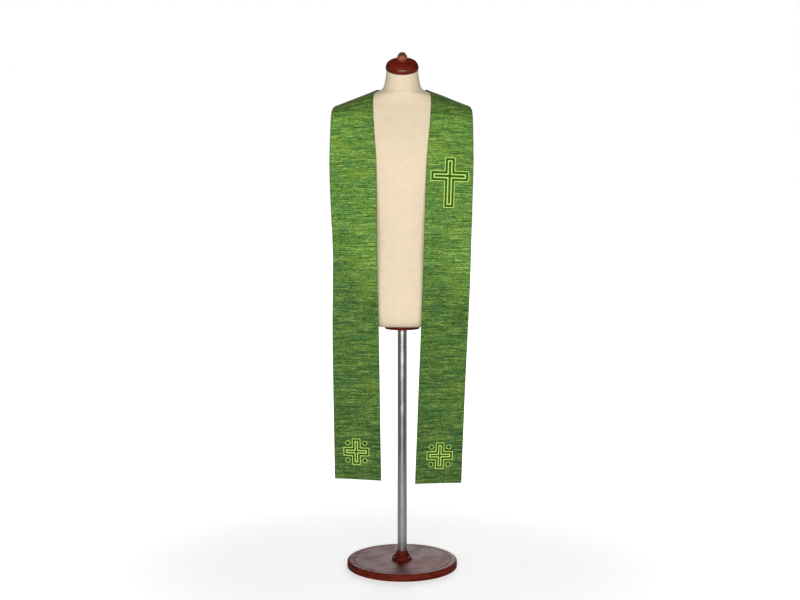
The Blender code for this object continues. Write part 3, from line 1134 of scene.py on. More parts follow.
@dataclass
class CapAndFinial:
    """The domed cap on the leaning neck, and its knob."""

    cap_wood: Material
    knob_wood: Material
    radius: float = 0.0558
    rim_height: float = 0.0090
    rim_sweep: float = 80.0
    shoulder_radius: float = 0.0400
    shoulder_height: float = 0.0252
    shoulder_sweep: float = 81.0
    height: float = 0.0284
    knob_radius: float = 0.0174
    knob_height: float = 0.0298
    knob_foot_radius: float = 0.0105
    knob_foot_height: float = 0.0020
    knob_waist_radius: float = 0.0095
    knob_bowl: float = 0.0090
    knob_sweep: float = 86.0
    segments: int = 192

    def place(self) -> Matrix:
        """The cap's seat on the neck's top ring, tilted forward with it."""
        seat = Matrix.Translation((0.0, -NECK_FORWARD, NECK_TOP))
        return seat @ Matrix.Rotation(NECK_TILT, 4, "X") @ Matrix.Translation((0, 0, SEAT_GAP))

    def cap_profile(self) -> Profile:
        """A rounded rim and shoulder, and a gentle crown.

        Returns:
            Radius and height of each point.
        """
        rim = self.rim_height / 2.0
        profile = [(0.0, 0.0), (self.radius - rim, 0.0)]
        profile += arc((self.radius - rim, rim), (rim, rim), -self.rim_sweep, 0, 10)
        shoulder = (self.radius - self.shoulder_radius, self.shoulder_height - rim)
        profile += arc((self.shoulder_radius, rim), shoulder, 0, self.shoulder_sweep, 18)[1:]
        crown_edge, crown_foot = profile[-1]
        rise = self.height - crown_foot
        crown = (crown_edge**2 + rise**2) / (2.0 * rise)
        start = math.degrees(math.acos(crown_edge / crown))
        return profile + arc((0.0, self.height - crown), (crown, crown), start, 90, 14)[1:]

    def knob_profile(self) -> Profile:
        """A small beaded foot, a narrow waist, a low bowl and a taller round top.

        Returns:
            Radius and height of each point.
        """
        foot = self.height + SEAT_GAP
        waist = math.asin(self.knob_waist_radius / self.knob_radius)
        widest = self.knob_foot_height + self.knob_bowl * math.cos(waist)
        bead = (self.knob_foot_height / 2.0,) * 2
        profile = [(0.0, foot), (self.knob_foot_radius - bead[0], foot)]
        profile += arc((self.knob_foot_radius - bead[0], foot + bead[1]), bead, -60, 90, 6)
        middle, top = (0.0, foot + widest), (self.knob_radius, self.knob_height - widest)
        bowl_from = math.degrees(waist) - 90.0
        profile += arc(middle, (self.knob_radius, self.knob_bowl), bowl_from, 0, 14)
        profile += arc(middle, top, 0, self.knob_sweep, 24)[1:]
        return profile + [(0.0, foot + self.knob_height)]

    def build(self) -> None:
        """Turns both pieces and seats them on the neck."""
        for name, profile, wood in (
            ("neck_cap", self.cap_profile(), self.cap_wood),
            ("cap_finial", self.knob_profile(), self.knob_wood),
        ):
            turned(name, profile, wood, self.place(), self.segments)


@dataclass
class Stand:
    """Round base, collar, pole and the flange that carries the form."""

    wood: Material
    steel: Material
    base_radius: float = 0.190
    base_height: float = 0.024
    base_edge: float = 0.008
    base_chamfer: float = 0.001
    base_groove_radius: float = 0.168
    base_groove: float = 0.0016
    base_segments: int = 144
    pole_radius: float = 0.016
    pole_edge: float = 0.0008
    pole_segments: int = 64
    collar_radius: float = 0.034
    collar_height: float = 0.030
    collar_rim: float = 0.0012
    collar_rim_height: float = 0.009
    collar_lip: float = 0.003
    flange_radius: float = 0.060
    flange_height: float = 0.012
    flange_chamfer: float = 0.004
    form_bottom: float = FORM_RINGS[0].height

    def base_profile(self) -> Profile:
        """A flat disc with a rounded shoulder and one turned groove.

        Returns:
            Radius and height of each point.
        """
        corner = self.base_radius - self.base_edge
        top = self.base_height
        profile = [(0.0, 0.0), (self.base_radius - self.base_chamfer, 0.0)]
        profile.append((self.base_radius, self.base_chamfer))
        profile += arc((corner, top - self.base_edge), (self.base_edge,) * 2, 0, 90, 14)
        groove = (self.base_groove, self.base_groove)
        profile += arc((self.base_groove_radius, top), groove, 0, -180, 8)
        return profile + [(0.0, top)]

    def collar_profile(self) -> Profile:
        """A collar round the pole with a hollow flank.

        Returns:
            Radius and height of each point.
        """
        foot = self.base_height + SEAT_GAP
        bore = self.pole_radius + SEAT_GAP
        top = foot + self.collar_height
        hollow = (
            self.collar_radius - bore - self.collar_lip,
            self.collar_height - self.collar_rim_height,
        )
        rim = self.collar_rim
        profile = [(bore, foot), (self.collar_radius - rim, foot)]
        profile += arc((self.collar_radius - rim, foot + rim), (rim, rim), -60, 0, 3)
        profile += arc((self.collar_radius, top), hollow, 270, 180, 14)
        return profile + [(bore, top), (bore, foot)]

    def build(self) -> None:
        """Makes the stand's pieces."""
        turned("base_plate", self.base_profile(), self.wood, segments=self.base_segments)
        turned("base_collar", self.collar_profile(), self.wood)
        flange_top = self.form_bottom - SEAT_GAP
        flange_foot = flange_top - self.flange_height
        pole = self.pole_profile(self.base_height + SEAT_GAP, flange_foot - SEAT_GAP)
        turned("pole", pole, self.steel, segments=self.pole_segments)
        flange = self.flange_profile(flange_foot, flange_top)
        turned("form_flange", flange, self.wood)

    def pole_profile(self, foot: float, top: float) -> Profile:
        """A rod with a small chamfer at both ends.

        Args:
            foot: Height of its lower end.
            top: Height of its upper end.

        Returns:
            Radius and height of each point.
        """
        radius, edge = self.pole_radius, self.pole_edge
        profile = [(0.0, foot), (radius - edge, foot), (radius, foot + edge)]
        return profile + [(radius, top - edge), (radius - edge, top), (0.0, top)]

    def flange_profile(self, foot: float, top: float) -> Profile:
        """A disc with its lower edge rounded over.

        Args:
            foot: Height of its underside.
            top: Height of its upper side.

        Returns:
            Radius and height of each point.
        """
        edge = self.flange_chamfer
        round_over = arc((self.flange_radius - edge, foot + edge), (edge, edge), -90, 0, 8)
        return [(0.0, foot), *round_over, (self.flange_radius, top), (0.0, top)]


# The stole.

SHOULDER_SLOPE = math.radians(21.0)
BACK_BOTTOM = 1.33


def upright_of(x: np.ndarray, z: np.ndarray) -> np.ndarray:
    """Distance along the upright of the shoulder's slope, in the plane of the front."""
    return x * math.sin(SHOULDER_SLOPE) + z * math.cos(SHOULDER_SLOPE)


@dataclass
class Crest:
    """The line that the cloth follows over a shoulder, seen along the shoulder's slope.

    It is the tightest convex line round the form's chest, shoulder and back, moved out by the
    clearance. Below the chest it runs straight down.
    """

    form: Piece
    clearance: float = 0.0028
    chest_from_x: float = 0.062
    ridge_from_x: float = 0.088
    chest_top: float = 1.50
    back_top: float = 1.56
    step: float = 0.004
    smoothing: int = 9
    rounding: int = 7
    circle_steps: int = 24
    chest_run: float = 0.12
    back_run: float = 0.24

    def __post_init__(self) -> None:
        """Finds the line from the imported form, and smooths it."""
        hull = self.hull()
        self.front_y = hull[0, 0]
        below_chest = [self.front_y, hull[0, 1] - self.chest_run]
        below_back = [hull[-1, 0], hull[-1, 1] - self.back_run]
        line = np.vstack([below_chest, hull, below_back])
        runs = np.concatenate([[0.0], np.cumsum(np.linalg.norm(np.diff(line, axis=0), axis=1))])
        even = np.arange(0.0, runs[-1], self.step)
        kernel = np.ones(self.smoothing) / self.smoothing
        self.depth = np.convolve(np.interp(even, runs, line[:, 0]), kernel, "valid")
        self.upright = np.convolve(np.interp(even, runs, line[:, 1]), kernel, "valid")
        steps = np.hypot(np.diff(self.depth), np.diff(self.upright))
        self.along = self.upright[0] + np.concatenate([[0.0], np.cumsum(steps)])
        self.top = self.along[int(self.upright.argmax())]

    def carrying(self) -> np.ndarray:
        """The form's points that can carry the band on the +X side.

        Returns:
            One row of depth and upright for each point.
        """
        places = np.round([vert.co for vert in self.form.data.vertices], self.rounding)
        points = np.unique(places, axis=0)
        right = points[points[:, 0] > -SEAT_GAP]
        x, y, z = right.T
        chest = (y < 0.0) & (x > self.chest_from_x) & (z > BACK_BOTTOM) & (z < self.chest_top)
        ridge = (x > self.ridge_from_x) & (z >= self.chest_top)
        back = (y >= 0.0) & (z > BACK_BOTTOM) & (z < self.back_top)
        carried = right[chest | ridge | back]
        return np.stack([carried[:, 1], upright_of(carried[:, 0], carried[:, 2])], axis=1)

    def hull(self) -> np.ndarray:
        """The tightest convex line round the carrying points, clear of them all.

        Returns:
            One row of depth and upright for each corner, from the front over the top to the back.
        """
        angles = np.linspace(0.0, FULL_TURN, self.circle_steps, endpoint=False)
        around = self.clearance * np.stack([np.cos(angles), np.sin(angles)], axis=1)
        grown = [Vector(point + offset) for point in self.carrying() for offset in around]
        hull = np.array([grown[index] for index in convex_hull_2d(grown)])
        order = np.argsort(np.arctan2(hull[:, 1] - hull[:, 1].mean(), hull[:, 0]))[::-1]
        hull = hull[order]
        hull = np.roll(hull, -int(hull[:, 0].argmin()), axis=0)
        return hull[: int(hull[:, 0].argmax()) + 1]

    def lay(self, across: np.ndarray, height: np.ndarray) -> np.ndarray:
        """Where points of the flat front plane lie once the cloth bends over the shoulder.

        Args:
            across: Distance from the middle.
            height: Height in the flat plane.

        Returns:
            One row of x, y and z for each point.
        """
        sine, cosine = math.sin(SHOULDER_SLOPE), math.cos(SHOULDER_SLOPE)
        along = upright_of(across, height)
        down_slope = across * cosine - height * sine
        straight = along <= self.along[0]
        depth = np.where(straight, self.front_y, np.interp(along, self.along, self.depth))
        upright = np.where(straight, along, np.interp(along, self.along, self.upright))
        x = down_slope * cosine + upright * sine
        return np.stack([x, depth, upright * cosine - down_slope * sine], axis=-1)


class Fold(NamedTuple):
    """A soft wave that crosses a hanging band, deepest at one height and fading to both sides."""

    height: float
    reach: float
    inner_depth: float
    outer_depth: float


class Tuck(NamedTuple):
    """How far a band's edges swing in from straight about one height, and its outer edge back."""

    height: float
    reach: float
    inner: float
    outer: float
    back: float


class Crease(NamedTuple):
    """A soft trough, or a ridge where its depth is below zero, on the flat band."""

    along: float
    across: float
    half_length: float
    half_width: float
    turn_degrees: float
    depth: float


@dataclass
class StoleBand:
    """One half of the stole, from its hem over the shoulder to the seam at the back."""

    crest: Crest
    cloth: Material
    lining: Material
    name: str
    side: int
    hem_height: float
    hem_inner_x: float
    lean: float
    curl: float
    hem_drop: Pair
    tuck: Tuck
    folds: tuple[Fold, ...]
    creases: tuple[Crease, ...]
    cut_length: float
    cut_area: float
    seed: float
    width: float = BAND_WIDTH
    neck_narrowing: float = 0.017
    neck_shift: float = 0.004
    neck_cut_starts: float = 1.36
    neck_cut_ends: float = 1.62
    wall: float = 0.002
    turned_edge: float = 0.009
    edge_rise: float = 0.00025
    edge_rise_ends: float = 0.0115
    lining_recess: float = 0.0003
    lining_inset: float = 0.0006
    lining_step: float = 0.0012
    pucker: float = 0.00028
    pucker_reach: float = 0.011
    pucker_waves: Triple = (437.0, 291.0, 31.0)
    pucker_shift: float = 2.1
    pucker_swell: float = 0.4
    crease_strength: float = 1.35
    corner: float = 0.0022
    end_angle: float = math.radians(12.0)
    front_turn: float = math.radians(11.0)
    turn_full_below: float = 1.40
    turn_gone_above: float = 1.57
    curl_full_below: float = 1.15
    curl_gone_above: float = 1.38
    hangs_below: float = 1.40
    hem_drop_reach: float = 0.10
    face_cells: int = 34
    reverse_cells: int = 26
    hanging_rows: int = 250
    shoulder_rows: int = 190
    round_steps: int = 4
    probe: float = 0.0015
    halvings: int = 40

    def inner_face(self, along: np.ndarray, part: np.ndarray) -> np.ndarray:
        """Points of the band's inner face, on the +X side.

        Args:
            along: Length up from the hem.
            part: 0 at the inner edge and 1 at the outer edge.

        Returns:
            One row of x, y and z for each point.
        """
        sine, cosine = math.sin(self.lean), math.cos(self.lean)
        inner_drop, outer_drop = self.hem_drop
        drop = inner_drop + part * (outer_drop - inner_drop)
        along = along - drop * np.exp(-((along / self.hem_drop_reach) ** 2))
        at_neck = smoothstep(self.hem_height + along, self.neck_cut_starts, self.neck_cut_ends)
        inset = (self.neck_shift + self.neck_narrowing / 2.0) * at_neck
        across = inset + part * (self.width - self.neck_narrowing * at_neck)
        tuck = self.tuck
        swing = np.exp(-(((self.hem_height + along - tuck.height) / tuck.reach) ** 2))
        across += swing * (tuck.inner * (1.0 - part) ** 2 - tuck.outer * part**2)
        flat_x = self.hem_inner_x + along * sine + across * cosine
        flat_z = self.hem_height + along * cosine - across * sine
        points = self.crest.lay(flat_x, flat_z)
        ahead = upright_of(flat_x, flat_z) < self.crest.top
        z = points[..., 2]
        turn = 1.0 - smoothstep(z, self.turn_full_below, self.turn_gone_above)
        shift = math.tan(self.front_turn) * across * turn
        curl = 1.0 - smoothstep(z, self.curl_full_below, self.curl_gone_above)
        shift = shift - self.curl * (2.0 * part - 1.0) ** 2 * curl
        shift = shift + tuck.back * part**3 * swing
        for fold in self.folds:
            depth = fold.inner_depth + (fold.outer_depth - fold.inner_depth) * part
            shift = shift - depth * np.exp(-(((z - fold.height) / fold.reach) ** 2))
        points[..., 1] += np.where(ahead, shift, 0.0)
        return points

    def crease_depth(self, along: np.ndarray, across: np.ndarray) -> np.ndarray:
        """How far the cloth sinks in its creases, and the long waves of its edges.

        Args:
            along: Length up from the hem.
            across: Distance from the inner edge.

        Returns:
            Depth below the smooth surface.
        """
        depth = np.zeros_like(along)
        for crease in self.creases:
            turn = math.radians(crease.turn_degrees)
            right, up = across - crease.across, along - crease.along
            run = (right * math.cos(turn) + up * math.sin(turn)) / crease.half_length
            off = (up * math.cos(turn) - right * math.sin(turn)) / crease.half_width
            fade = np.clip(1.0 - run**2, 0.0, 1.0) ** 2
            depth += self.crease_strength * crease.depth * fade * np.exp(-(off**2))
        from_edge = np.minimum(across, self.width - across)
        short, middling, swelling = self.pucker_waves
        shifted = self.pucker_shift * self.seed
        ripple = np.sin(along * short + self.seed) + np.sin(along * middling + shifted)
        swell = self.pucker_swell * np.sin(along * swelling + self.seed)
        ripple *= 1.0 - self.pucker_swell + swell
        depth += self.pucker * 0.5 * ripple * np.exp(-((from_edge / self.pucker_reach) ** 2))
        return depth

    def surface(self, along: np.ndarray, across: np.ndarray, out: np.ndarray) -> np.ndarray:
        """Points of the cloth on the +X side, creases included.

        Args:
            along: Length up from the hem.
            across: Distance from the inner edge, before the neck's narrowing.
            out: Distance out from the inner face.

        Returns:
            One row of x, y and z for each point.
        """
        part, part_probe = across / self.width, self.probe / self.width
        base = self.inner_face(along, part)
        right = self.inner_face(along, part + part_probe)
        left = self.inner_face(along, part - part_probe)
        above = self.inner_face(along + self.probe, part)
        below = self.inner_face(along - self.probe, part)
        normal = np.cross(right - left, above - below)
        normal /= np.linalg.norm(normal, axis=-1, keepdims=True)
        lift = out - self.crease_depth(along, across)
        return base + normal * lift[..., None]

    def mitre_length(self, part: np.ndarray) -> np.ndarray:
        """Length up from the hem at which the band meets the centre-back seam.

        Args:
            part: 0 at the inner edge and 1 at the outer edge.

        Returns:
            The length for each place across the band.
        """
        low = np.full_like(part, self.hangs_below - self.hem_height)
        high = np.full_like(part, self.crest.along[-1])
        for _ in range(self.halvings):
            middle = (low + high) / 2.0
            inside = self.inner_face(middle, part)[..., 0] > SEAT_GAP / 2.0
            low, high = np.where(inside, middle, low), np.where(inside, high, middle)
        return (low + high) / 2.0

    def section(self) -> tuple[np.ndarray, np.ndarray, np.ndarray]:
        """The cloth's cross-section, once round: face, outer edge, reverse and inner edge.

        Returns:
            Distance from the inner edge, distance out from the reverse, and run round it.
        """
        radius = self.wall / 2.0
        bend = np.linspace(math.pi / 2.0, -math.pi / 2.0, self.round_steps + 1)[1:-1]
        face = np.linspace(radius, self.width - radius, self.face_cells + 1)
        inside = self.turned_edge + self.lining_inset
        reverse = np.concatenate([
            [self.width - radius, self.width - inside + self.lining_step],
            np.linspace(self.width - inside, inside, self.reverse_cells + 1),
            [inside - self.lining_step, radius],
        ])
        recess = np.full_like(reverse, self.lining_recess)
        recess[[0, 1, -2, -1]] = 0.0
        across = np.concatenate([
            face, self.width - radius + radius * np.cos(bend),
            reverse, radius - radius * np.cos(bend), face[:1],
        ])
        out = np.concatenate([
            np.full_like(face, self.wall), radius + radius * np.sin(bend),
            recess, radius - radius * np.sin(bend), [self.wall],
        ])
        run = np.concatenate([[0.0], np.cumsum(np.hypot(np.diff(across), np.diff(out)))])
        return across, out, run + face[0]

    def stations(self, across: np.ndarray) -> tuple[np.ndarray, np.ndarray]:
        """Where the cross-section is repeated, and how full it is there.

        Args:
            across: Distances of the section's points from the inner edge.

        Returns:
            A row of lengths up from the hem for each repeat, and a column of shares of its
            full thickness.
        """
        radius = self.wall / 2.0
        hanging = self.hangs_below - self.hem_height
        mitre = self.mitre_length(across / self.width)
        ends = np.linspace(self.end_angle, math.pi / 2.0, self.round_steps + 1)
        close, swell = radius * (1.0 - np.cos(ends)), np.sin(ends)
        hang = np.linspace(radius, hanging, self.hanging_rows + 1)[1:]
        over = np.linspace(0.0, 1.0, self.shoulder_rows + 1)[1:]
        lengths = [np.full_like(across, length) for length in (*close, *hang)]
        lengths += [hanging + (mitre - radius - hanging) * share for share in over]
        lengths += [mitre - length for length in close[-2::-1]]
        level = np.ones(len(hang) + len(over))
        return np.array(lengths), np.concatenate([swell, level, swell[-2::-1]])[:, None]

    def build(self) -> Piece:
        """Makes the band as one closed shell of face cloth and lining.

        Returns:
            The piece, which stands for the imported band.
        """
        across, out, run = self.section()
        along, swells = self.stations(across)
        radius = self.wall / 2.0
        gap = np.clip(self.corner - along, 0.0, None)
        cut = self.corner - np.sqrt(self.corner**2 - gap**2)
        trimmed = cut + (self.width - 2.0 * cut) * (across / self.width)[None, :]
        from_edge = np.minimum(np.minimum(trimmed, self.width - trimmed), along)
        fall = smoothstep(from_edge, self.turned_edge, self.edge_rise_ends)
        rise = self.edge_rise * (1.0 - fall)
        depth = np.where(np.isclose(out, self.wall), out + rise, out)
        depth = radius + (depth - radius) * swells
        points = self.surface(along, trimmed, depth)
        points[..., 0] = np.maximum(points[..., 0], SEAT_GAP / 2.0)
        u = np.broadcast_to(run, along.shape)
        if self.side < 0:
            points[..., 0] *= -1.0
            u = self.width - u
        bm = bmesh.new()
        faces = lay_grid(bm, PlacedGrid(points, u, along))
        self.mark_lining(faces, len(across) - 1, along.shape[0] - 1)
        close_ends(bm)
        piece = add_piece(f"{self.name}_cloth", bm, [self.cloth, self.lining])
        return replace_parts(piece, self.name)

    def mark_lining(self, faces: list, columns: int, rows: int) -> None:
        """Gives the reverse its lining, inside the turned edges.

        Args:
            faces: The band's faces, row by row.
            columns: Faces in a row.
            rows: Number of rows.
        """
        first = self.face_cells + self.round_steps + 2
        row_step = (self.hangs_below - self.hem_height) / self.hanging_rows
        lowest = self.round_steps + math.ceil(self.turned_edge / row_step)
        for index, face in enumerate(faces):
            row, column = divmod(index, columns)
            inside = first <= column < first + self.reverse_cells
            if inside and lowest <= row < rows - self.round_steps - 1:
                face.material_index = 1

    def flat_place(self, x: float, z: float) -> Pair:
        """The band's own coordinates of a place on its hanging front.

        Args:
            x: Distance from the middle, towards the band.
            z: Height.

        Returns:
            Distance from the inner edge, and length up from the hem.
        """
        right, up = x - self.hem_inner_x, z - self.hem_height
        sine, cosine = math.sin(self.lean), math.cos(self.lean)
        return right * cosine - up * sine, right * sine + up * cosine

    def declare(self, piece: Piece, stitched: list, under: Piece) -> None:
        """Takes the band's pieces and does nothing with them.

        Args:
            piece: The band's cloth; not used.
            stitched: The embroidery on it; not used.
            under: What it rests on; not used.
        """


# Embroidery.


class Outline:
    """A closed outline that can be moved inwards, with stations that keep their partners."""

    def at(self, inset: float) -> np.ndarray:
        """Points of the outline moved in by the inset, the last one the same as the first."""
        raise NotImplementedError


@dataclass
class CrossOutline(Outline):
    """A cross with straight arms and softly rounded corners."""

    half_arm: float
    side_reach: float
    up_reach: float
    down_reach: float
    rounding: float = 0.0026
    least_rounding: float = 0.0007
    most_of_arm: float = 0.49
    stitch: float = STITCH
    bend_steps: int = 6

    def corners(self, inset: float) -> list[Pair]:
        """The twelve corners, from the top arm round to the left.

        Args:
            inset: How far in, from the outer edge.

        Returns:
            Place across and up of each corner.
        """
        arm, side = self.half_arm - inset, self.side_reach - inset
        up, down = self.up_reach - inset, self.down_reach - inset
        return [
            (-arm, up), (arm, up), (arm, arm), (side, arm), (side, -arm), (arm, -arm),
            (arm, -down), (-arm, -down), (-arm, -arm), (-side, -arm), (-side, arm), (-arm, arm),
        ]

    def at(self, inset: float) -> np.ndarray:
        """Points of the outline moved in by the inset, with round corners.

        Args:
            inset: How far in, from the outer edge.

        Returns:
            One row of x and y for each station, the last the same as the first.
        """
        whole, corners = np.array(self.corners(0.0)), np.array(self.corners(inset))
        ahead = np.roll(corners, -1, axis=0) - corners
        lengths = np.linalg.norm(ahead, axis=1)
        heading = ahead / np.maximum(lengths, TINY)[:, None]
        shortest = np.minimum(lengths, np.roll(lengths, 1))
        hollow = np.arange(len(corners)) % 3 == 2  # The corners between two arms.
        hollow_bend = min(self.rounding, self.half_arm - inset)
        bend = np.where(hollow, hollow_bend, max(self.rounding - inset, self.least_rounding))
        bend = np.minimum(bend, self.most_of_arm * shortest)
        points = []
        for index, here in enumerate(corners):
            after = (index + 1) % len(corners)
            start = here - heading[index - 1] * bend[index]
            end = here + heading[index] * bend[index]
            for t in np.linspace(0.0, 1.0, self.bend_steps + 1):
                points.append((1 - t) ** 2 * start + 2 * t * (1 - t) * here + t**2 * end)
            stop = corners[after] - heading[index] * bend[after]
            steps = max(2, int(np.linalg.norm(whole[after] - whole[index]) / self.stitch))
            points += [end + (stop - end) * step / steps for step in range(1, steps)]
        return np.array([*points, points[0]])


@dataclass
class RoundOutline(Outline):
    """A circle."""

    radius: float
    centre: Pair
    stitch: float = STITCH

    def at(self, inset: float) -> np.ndarray:
        """Points of the circle moved in by the inset.

        Args:
            inset: How far in, from the circle.

        Returns:
            One row of x and y for each station, the last the same as the first.
        """
        steps = int(FULL_TURN * self.radius / self.stitch) // 2 * 2
        angles = np.linspace(0.0, FULL_TURN, steps + 1)
        heading = np.stack([np.cos(angles), np.sin(angles)], axis=1)
        return np.array(self.centre) + (self.radius - inset) * heading


class Stitched(NamedTuple):
    """A band of satin stitch between two insets of an outline, or a core filled to its middle."""

    start: float
    end: float
    height: float
    dark: bool
    core: bool


Shapes = tuple[tuple[Outline, tuple[Stitched, ...]], ...]


@dataclass
class Embroidery:
    """A motif of nested satin-stitch bands on one band of the stole."""

    name: str
    band: StoleBand
    x: float
    z: float
    shapes: Shapes
    threads: tuple[Material, Material]
    cells: int = 6
    sink: float = 0.0003
    groove: float = 0.00014
    raised_from: float = 0.01

    def build(self) -> Piece:
        """Lays every stitched band on the cloth as a closed, ribbed roll.

        Returns:
            The piece.
        """
        bm = bmesh.new()
        for outline, bands in self.shapes:
            for band in bands:
                for profile in self.profiles(band):
                    for face in lay_grid(bm, self.roll(outline, band, profile)):
                        face.material_index = int(band.dark)
        return add_piece(self.name, bm, self.threads, sharp_degrees=75.0)

    def profiles(self, band: Stitched) -> list[tuple[np.ndarray, np.ndarray]]:
        """Cross sections of a band.

        Args:
            band: The band.

        Returns:
            Shares of the way in and heights: one closed roll, or a core's top and underside.
        """
        share = np.linspace(0.0, 1.0, self.cells + 1)
        if band.core:
            crown = np.sqrt(1.0 - (1.0 - share) ** 2)
            return [(share, crown), (np.array([1.0, 0.0]), np.zeros(2))]
        crown = np.sqrt(np.clip(1.0 - (2.0 * share - 1.0) ** 2, 0.0, 1.0))
        return [(np.append(share, 0.0), np.append(crown, 0.0))]

    def roll(
        self, outline: Outline, band: Stitched, profile: tuple[np.ndarray, np.ndarray]
    ) -> PlacedGrid:
        """One cross section swept along a stitched band, flat below the cloth's face.

        Args:
            outline: The outline it follows.
            band: Its insets and height.
            profile: The cross section.

        Returns:
            Where its grid goes.
        """
        share, crown = profile
        near, far = outline.at(band.start), outline.at(band.end)
        flat = near[:, None] + (far - near)[:, None] * share[None, :, None]
        rib = np.where(np.arange(len(near)) % 2 == 0, 0.0, self.groove)[:, None]
        spread = np.linalg.norm(np.diff(flat, axis=0, append=flat[1:2]), axis=2)
        rib = rib * np.clip(spread / outline.stitch, 0.0, 1.0)
        raised = crown > self.raised_from
        rib = rib * (1.0 - share**2 * band.core) * raised
        rib[-1] = rib[0]
        lift = band.height * crown - rib
        middle = self.band.flat_place(self.x, self.z)
        along, across = middle[1] + flat[..., 1], middle[0] + flat[..., 0]
        out = self.band.wall + lift - self.sink * ~raised
        points = self.band.surface(along, across, out)
        if self.band.side < 0:
            points[..., 0] *= -1.0
        steps = np.linalg.norm(np.diff(near, axis=0), axis=1)
        run = np.concatenate([[0.0], np.cumsum(steps)])
        u = np.broadcast_to(share * (band.end - band.start), along.shape)
        return PlacedGrid(points, u, np.broadcast_to(run[:, None], along.shape))


# Floor, light and camera.


class SoftBox(NamedTuple):
    """A rectangular soft light: where it stands, what it points at, its size and its watts."""

    name: str
    place: Triple
    aim: Triple
    size: Pair
    power: float

    def light(self) -> None:
        """Puts the light into the scene."""
        data = bpy.data.lights.new(self.name, "AREA")
        data.shape = "RECTANGLE"
        data.size, data.size_y = self.size
        data.energy = self.power
        lamp = link(self.name, data)
        lamp.visible_camera = False
        lamp.location = self.place
        heading = Vector(self.aim) - Vector(self.place)
        lamp.rotation_euler = heading.to_track_quat("-Z", "Y").to_euler()


@dataclass
class Studio:
    """A pale floor, soft light and the camera."""

    floor_size: float = 40.0
    boxes: tuple[SoftBox, ...] = (
        SoftBox("front box", (-0.05, -4.7, 1.60), (0.0, 0.0, 1.2), (4.2, 1.1), 230.0),
        SoftBox("back box", (0.5, 4.3, 1.9), (0.0, 0.0, 1.1), (2.2, 2.2), 115.0),
    )
    camera_place: Triple = (-0.0075, -4.30, 1.30)
    camera_pitch: float = math.radians(85.0)
    lens: float = 57.0
    sensor: float = 36.0
    sees_to: float = 200.0
    floor_colour: Colour = (0.84, 0.84, 0.84)
    floor_lift: float = 0.46
    pool_radius: float = 0.4
    fade_radius: float = 2.2
    side_light: float = 0.25
    top_light: float = 0.02
    top_from: float = 0.7

    def floor(self) -> None:
        """A plain floor that meets the white surround far away."""
        bm = bmesh.new()
        bmesh.ops.create_grid(bm, x_segments=8, y_segments=8, size=self.floor_size)
        paint = Painted("pale floor", {"Roughness": 0.85, "Specular IOR Level": 0.2})
        graph, place = paint.graph, paint.place()
        far = graph.add("ShaderNodeVectorMath", {0: place}, operation="LENGTH").outputs["Value"]
        away = graph.remap(far, self.pool_radius, self.fade_radius)
        paint.feed("Base Color", graph.mix(away, self.floor_colour, (0.0, 0.0, 0.0)))
        seen = graph.add("ShaderNodeLightPath").outputs["Is Camera Ray"]
        glow = graph.math("MULTIPLY", away, graph.remap(seen, 0.0, 1.0, self.side_light, 1.0))
        glow = graph.math("ADD", glow, graph.math("MULTIPLY", seen, self.floor_lift))
        white = graph.add("ShaderNodeCombineColor", dict.fromkeys(range(3), glow)).outputs[0]
        paint.feed("Emission Color", white)
        paint.shader.inputs["Emission Strength"].default_value = 1.0
        to_object("floor", bm, [paint.material])

    def surround(self) -> None:
        """White behind the object, and softer light from above than from the sides."""
        world = bpy.data.worlds.new("studio surround")
        bpy.context.scene.world = world
        world.use_nodes = True
        graph = Graph(world.node_tree)
        heading = graph.add("ShaderNodeTexCoord").outputs["Generated"]
        height = graph.add("ShaderNodeSeparateXYZ", {0: heading}).outputs[2]
        ambient = graph.remap(height, 0.0, self.top_from, self.side_light, self.top_light)
        seen = graph.add("ShaderNodeLightPath").outputs["Is Camera Ray"]
        lift = graph.math("MULTIPLY", seen, graph.math("SUBTRACT", 1.0, ambient))
        strength = graph.math("ADD", ambient, lift)
        background = world.node_tree.nodes["Background"]
        background.inputs["Color"].default_value = (1.0, 1.0, 1.0, 1.0)
        world.node_tree.links.new(strength, background.inputs["Strength"])

    def camera(self) -> None:
        """The camera, at chest height and looking slightly down."""
        data = bpy.data.cameras.new("camera")
        data.lens, data.sensor_width = self.lens, self.sensor
        data.clip_end = self.sees_to
        camera = link("camera", data)
        camera.location = self.camera_place
        camera.rotation_euler = (self.camera_pitch, 0.0, 0.0)
        bpy.context.scene.camera = camera

    def build(self) -> None:
        """Sets up the whole studio."""
        self.floor()
        self.surround()
        for box in self.boxes:
            box.light()
        bpy.context.scene.view_settings.view_transform = "Standard"
        self.camera()


class Wardrobe(NamedTuple):
    """Every material of the object."""

    cloth: Material
    lining: Material
    lime: Material
    bottle: Material
    jersey: Material
    red_wood: Material
    base_wood: Material
    brown_wood: Material
    steel: Material


